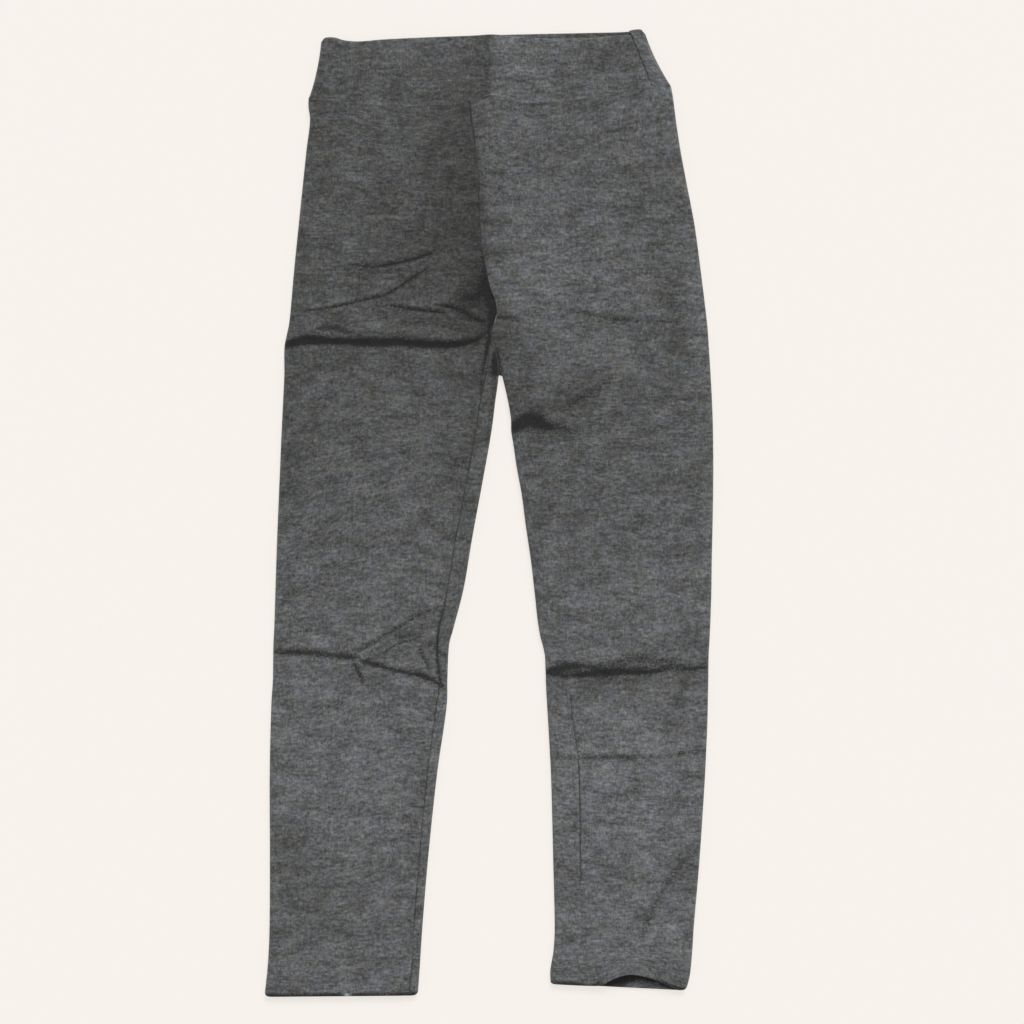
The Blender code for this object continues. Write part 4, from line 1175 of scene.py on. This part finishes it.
def nap_group():
    """The relief of brushed jersey: rows of small loops under a short uneven nap."""
    tree, given, out = group_tree("jersey nap", ("Loops", "Nap"), ("Height",))
    vector = given["Vector"]
    wales, courses = (
        along.maths("SINE", along * (2 * math.pi / step)) for along, step in (
            (signal(tree, "ShaderNodeSeparateXYZ", {0: vector}, axis), step)
            for axis, step in ((0, WALE), (1, COURSE))))
    broad = noise(tree, vector, (4.2, 2.0, 1), 2.0, 0.6, 5)
    close = noise(tree, vector, (1.4, 1.1, 1), 2.0, 0.6, 17)
    loops = wales * courses * given["Loops"]
    fed(tree, out, {"Height": loops + (broad + close * 0.7) * given["Nap"]})
    return tree


def use_group(tree, group, vector, **values):
    """What a node group puts out, by name."""
    node = tree.nodes.new("ShaderNodeGroup")
    node.node_tree = group
    fed(tree, node, {"Vector": vector, **values})
    return {socket.name: Signal(tree, socket) for socket in node.outputs}


def shader_tree(name, inputs):
    """A new material, its node tree and its shader."""
    material = bpy.data.materials.new(name)
    material.use_nodes = True
    tree = material.node_tree
    return material, tree, fed(tree, tree.nodes["Principled BSDF"], inputs)


def cloth_material(name, groups, dark, light, look):
    """Knit cloth between two yarn colours, darkened by painted shade and lit by painted light from
    the mesh's attributes. look holds its balance, contrast, nap and sheen, and how strong and
    ragged its painted shade is.
    """
    material, tree, shader = shader_tree(name, {
        "Roughness": 0.93, "Specular IOR Level": 0.25, "Sheen Weight": look["sheen"],
        "Sheen Roughness": 0.55, "Sheen Tint": (0.92, 0.93, 0.93, 1)})
    place = signal(tree, "ShaderNodeUVMap", {}, uv_map="courses")
    vector = signal(tree, "ShaderNodeVectorMath", {0: place, "Scale": 1 / MM}, operation="SCALE")
    yarn = use_group(
        tree, groups["melange"], vector, Flecks=look["flecks"], Mottling=look["mottling"])
    crease, tone = (signal(tree, "ShaderNodeAttribute", {}, "Fac", attribute_name=key)
                    for key in ("crease", "tone"))
    # Painted light and tone move the balance towards the lighter yarn, cool its tint and scale the
    # light given back.
    balance = yarn["Yarn"] + look["balance"] + tone * YARN_TONE
    balance = tone.maths("POWER", tone.maths("MAXIMUM", balance, 0.0), YARN_POWER)
    coolness = between(tree, COOL_BETWEEN, yarn["Cool"]) + tone * COOL_TONE - crease * WARM_CREASE
    tints = [(*(a * b for a, b in zip(light, tint)), 1) for tint in (WARM, COOL)]
    colour = blended(tree, balance, (*dark, 1), blended(tree, coolness, *tints))
    # The painted shade is solid where it is deep, and towards its edges it breaks up into dark
    # tufts.
    window = tone.maths("MAXIMUM", crease * (RAGGED_TO - crease), 0.0) * look["ragged"]
    ragged = between(tree, DARK_BETWEEN, crease + window * (yarn["Tufts"] - 0.5), "SMOOTHSTEP")
    painted_shade_share = ragged * TUFTED + tone.maths("MINIMUM", crease, 1.0) * (1 - TUFTED)
    light_left = (1.0 - painted_shade_share * look["creases"]) * tone.maths("EXPONENT", tone * LIGHT_TONE)
    shade = signal(
        tree, "ShaderNodeVectorMath", {0: colour, "Scale": light_left}, operation="SCALE")
    nap = use_group(tree, groups["nap"], vector, Loops=look["loops"], Nap=look["nap"])
    fed(tree, shader, {
        "Base Color": blended(tree, yarn["Lint"], shade, LINT),
        "Normal": signal(tree, "ShaderNodeBump", {
            "Strength": 1.0, "Distance": look["relief"], "Height": nap["Height"]})})
    return material


def finishes(cloth):
    """The knit outside and the brushed fleece inside, made once."""
    names = ("charcoal_melange_knit", "brushed_fleece")
    if names[0] in bpy.data.materials:
        return [bpy.data.materials[name] for name in names]
    groups = {"melange": melange_group(), "nap": nap_group()}
    # creases is how far the painted shade darkens the cloth, and ragged how it breaks up.
    knit = cloth_material(names[0], groups, cloth.dark_yarn, cloth.light_yarn, {
        "sheen": cloth.sheen, "flecks": cloth.flecks, "mottling": 0.52, "balance": 0.505,
        "creases": 0.89, "ragged": 6.0, "loops": 0.25, "nap": 1.0, "relief": cloth.relief})
    lining = cloth_material(names[1], groups, cloth.lining_dark, cloth.lining_light, {
        "sheen": 0.4, "flecks": 0.5, "mottling": 0.8, "balance": 0.63,
        "creases": 0.5, "ragged": 4.0, "loops": 0.0, "nap": 2.2, "relief": 2 * cloth.relief})
    return knit, lining


# ---------------------------------------------------------------- settings

class JoggersCloth(bpy.types.PropertyGroup):
    """Colours and finish of the cloth."""

    dark_yarn: bpy.props.FloatVectorProperty(
        name="Dark yarn", description="Colour of the darker flecks", subtype="COLOR", size=3,
        min=0, max=1, default=(0.0286, 0.028, 0.0252))
    light_yarn: bpy.props.FloatVectorProperty(
        name="Light yarn", description="Colour of the lighter flecks", subtype="COLOR", size=3,
        min=0, max=1, default=(0.2047, 0.211, 0.2200))
    lining_dark: bpy.props.FloatVectorProperty(
        name="Lining, dark", description="Darker shade of the fleece inside", subtype="COLOR",
        size=3, min=0, max=1, default=(0.070, 0.070, 0.070))
    lining_light: bpy.props.FloatVectorProperty(
        name="Lining, light", description="Lighter shade of the fleece inside", subtype="COLOR",
        size=3, min=0, max=1, default=(0.170, 0.172, 0.175))
    flecks: bpy.props.FloatProperty(
        name="Flecks", description="Contrast of the melange flecks", min=0, max=3, default=0.91,
        subtype="FACTOR")
    sheen: bpy.props.FloatProperty(
        name="Sheen", description="How much the brushed nap shines at its edges", min=0, max=1,
        default=0.22, subtype="FACTOR")
    relief: bpy.props.FloatProperty(
        name="Nap relief", description="Height of the nap's unevenness", min=0, max=0.005,
        default=0.0009, unit="LENGTH")


class JoggersStudio(bpy.types.PropertyGroup):
    """The surface they lie on, the light and the camera."""

    floor_colour: bpy.props.FloatVectorProperty(
        name="Surface", description="Colour of the surface", subtype="COLOR", size=3,
        min=0, max=1, default=(0.1772, 0.1687, 0.1598))
    floor_glow: bpy.props.FloatProperty(
        name="Surface glow", description="How much it is lit from below, which softens shadows",
        min=0, max=10, default=4.11)
    floor_size: bpy.props.FloatProperty(
        name="Surface size", description="Length of its sides", min=2, max=50, default=12,
        unit="LENGTH")
    key: bpy.props.FloatProperty(
        name="Key light", description="Strength of the light from beyond the waist", min=0,
        max=20, default=2.6)
    key_height: bpy.props.FloatProperty(
        name="Key height", description="Angle of that light above the surface", min=0,
        max=math.pi / 2, default=math.radians(38), subtype="ANGLE")
    key_turn: bpy.props.FloatProperty(
        name="Key turn", description="Angle of that light from the waist towards the left leg",
        min=-math.pi, max=math.pi, default=math.radians(14), subtype="ANGLE")
    fill: bpy.props.FloatProperty(
        name="Fill light", description="Strength of the even light from all round", min=0, max=5,
        default=0.62)
    camera_height: bpy.props.FloatProperty(
        name="Camera height", description="Distance of the camera above the surface", min=0.5,
        max=20, default=2.6, unit="LENGTH")
    camera_view: bpy.props.FloatProperty(
        name="Camera view", description="Width that the camera sees at the cloth", min=0.1,
        max=5, default=1.024, unit="LENGTH")
    camera_centre: bpy.props.FloatVectorProperty(
        name="Camera centre", description="Point of the surface below the camera", size=2,
        default=(0.023, 0.0005), subtype="XYZ", unit="LENGTH")


# ---------------------------------------------------------------- operators

FLOOR_GAP = 0.0002           # the surface lies this far below the cloth, in metres
CLOTH_TOP = 0.006            # height of the cloth's front, in metres
KEY_ANGLE = math.radians(24)
PAPER_GRAIN = (1 / 300,) * 3


def right_leg():
    return Leg(-1, RIGHT_LEG, RIGHT_CREASES, RIGHT_HEM_RISE, RIGHT_SEAM)


def left_leg():
    return Leg(1, LEFT_LEG, LEFT_CREASES, LEFT_HEM_RISE, LEFT_SEAM)


def add_leg(name, leg, cloth):
    return knit_piece(name, *leg.faces(), leg.side > 0, finishes(cloth), lined_to=leg.turn_top)


class JOGGERS_OT_right_leg(bpy.types.Operator):
    """Adds the wearer's right leg, with its half of the hips, its inseam and its turned-up hem"""

    bl_idname = "joggers.right_leg"
    bl_label = "Right Leg"

    def execute(self, context):
        piece = add_leg("right_leg", right_leg(), context.scene.joggers_cloth)
        return {"FINISHED"}


class JOGGERS_OT_left_leg(bpy.types.Operator):
    """Adds the wearer's left leg, whose hem stands open at the front"""

    bl_idname = "joggers.left_leg"
    bl_label = "Left Leg"

    def execute(self, context):
        piece = add_leg("left_leg", left_leg(), context.scene.joggers_cloth)
        return {"FINISHED"}


class JOGGERS_OT_waistband(bpy.types.Operator):
    """Adds the flat doubled waistband, as a front and a back half sewn at the sides"""

    bl_idname = "joggers.waistband"
    bl_label = "Waistband"

    def execute(self, context):
        band = Band(right_leg(), left_leg())
        cloth = context.scene.joggers_cloth
        for name, made in (("waistband_front", band.front()), ("waistband_back", band.back())):
            piece = knit_piece(name, *made, True, finishes(cloth))
        return {"FINISHED"}


class JOGGERS_OT_studio(bpy.types.Operator):
    """Adds the pale surface, the soft light and the camera straight above"""

    bl_idname = "joggers.studio"
    bl_label = "Studio"

    def execute(self, context):
        studio = context.scene.joggers_studio
        bpy.ops.object.select_all(action="DESELECT")
        bpy.ops.mesh.primitive_plane_add(size=studio.floor_size, location=(0, 0, -FLOOR_GAP))
        floor = context.object
        floor.name = "floor"
        paper, tree, shader = shader_tree("pale_paper", {
            "Roughness": 0.9, "Specular IOR Level": 0.1, "Emission Strength": studio.floor_glow})
        place = signal(tree, "ShaderNodeTexCoord", {}, "Object")
        shades = [(*(min(1.0, share * c) for c in studio.floor_colour), 1)
                  for share in (0.99, 1.01)]
        colour = blended(tree, noise(tree, place, PAPER_GRAIN, 2.0, 0.5), *shades)
        fed(tree, shader, {"Base Color": colour, "Emission Color": colour})
        floor.data.materials.append(paper)

        world = bpy.data.worlds.new("soft_room")
        world.use_nodes = True
        tree = world.node_tree
        fed(tree, tree.nodes["Background"], {"Color": (1, 1, 1, 1), "Strength": studio.fill})
        context.scene.world = world

        key = bpy.data.objects.new("key_light", bpy.data.lights.new("key_light", "SUN"))
        key.data.energy = studio.key
        key.data.angle = KEY_ANGLE
        key.rotation_euler = (-(math.pi / 2 - studio.key_height), 0, -studio.key_turn)
        context.collection.objects.link(key)

        camera = bpy.data.objects.new("camera", bpy.data.cameras.new("camera"))
        camera.location = (*studio.camera_centre, studio.camera_height)
        to_cloth = studio.camera_height - CLOTH_TOP
        camera.data.angle = 2 * math.atan(studio.camera_view / 2 / to_cloth)
        context.collection.objects.link(camera)
        context.scene.camera = camera
        context.scene.view_settings.view_transform = "Standard"
        return {"FINISHED"}


class JOGGERS_PT_panel(bpy.types.Panel):
    """The joggers' pieces and their settings"""

    bl_idname = "JOGGERS_PT_panel"
    bl_label = "Fleece-Lined Joggers"
    bl_space_type = "VIEW_3D"
    bl_region_type = "UI"
    bl_category = "Joggers"

    def draw(self, context):
        layout = self.layout
        for settings in (context.scene.joggers_cloth, context.scene.joggers_studio):
            box = layout.box()
            for name in settings.__annotations__:
                box.prop(settings, name)
        for operator in OPERATORS:
            layout.operator(operator.bl_idname)


OPERATORS = (JOGGERS_OT_right_leg, JOGGERS_OT_left_leg, JOGGERS_OT_waistband, JOGGERS_OT_studio)
CLASSES = (JoggersCloth, JoggersStudio, *OPERATORS, JOGGERS_PT_panel)


def register():
    for cls in CLASSES:
        bpy.utils.register_class(cls)
    bpy.types.Scene.joggers_cloth = bpy.props.PointerProperty(type=JoggersCloth)
    bpy.types.Scene.joggers_studio = bpy.props.PointerProperty(type=JoggersStudio)


def unregister():
    del bpy.types.Scene.joggers_studio
    del bpy.types.Scene.joggers_cloth
    for cls in reversed(CLASSES):
        bpy.utils.unregister_class(cls)


def main():
    register()
    bpy.ops.object.select_all(action="DESELECT")
    bpy.ops.joggers.right_leg()
    bpy.ops.joggers.left_leg()
    bpy.ops.joggers.waistband()
    bpy.ops.joggers.studio()
    bpy.context.view_layer.update()


if __name__ == "__main__":
    main()
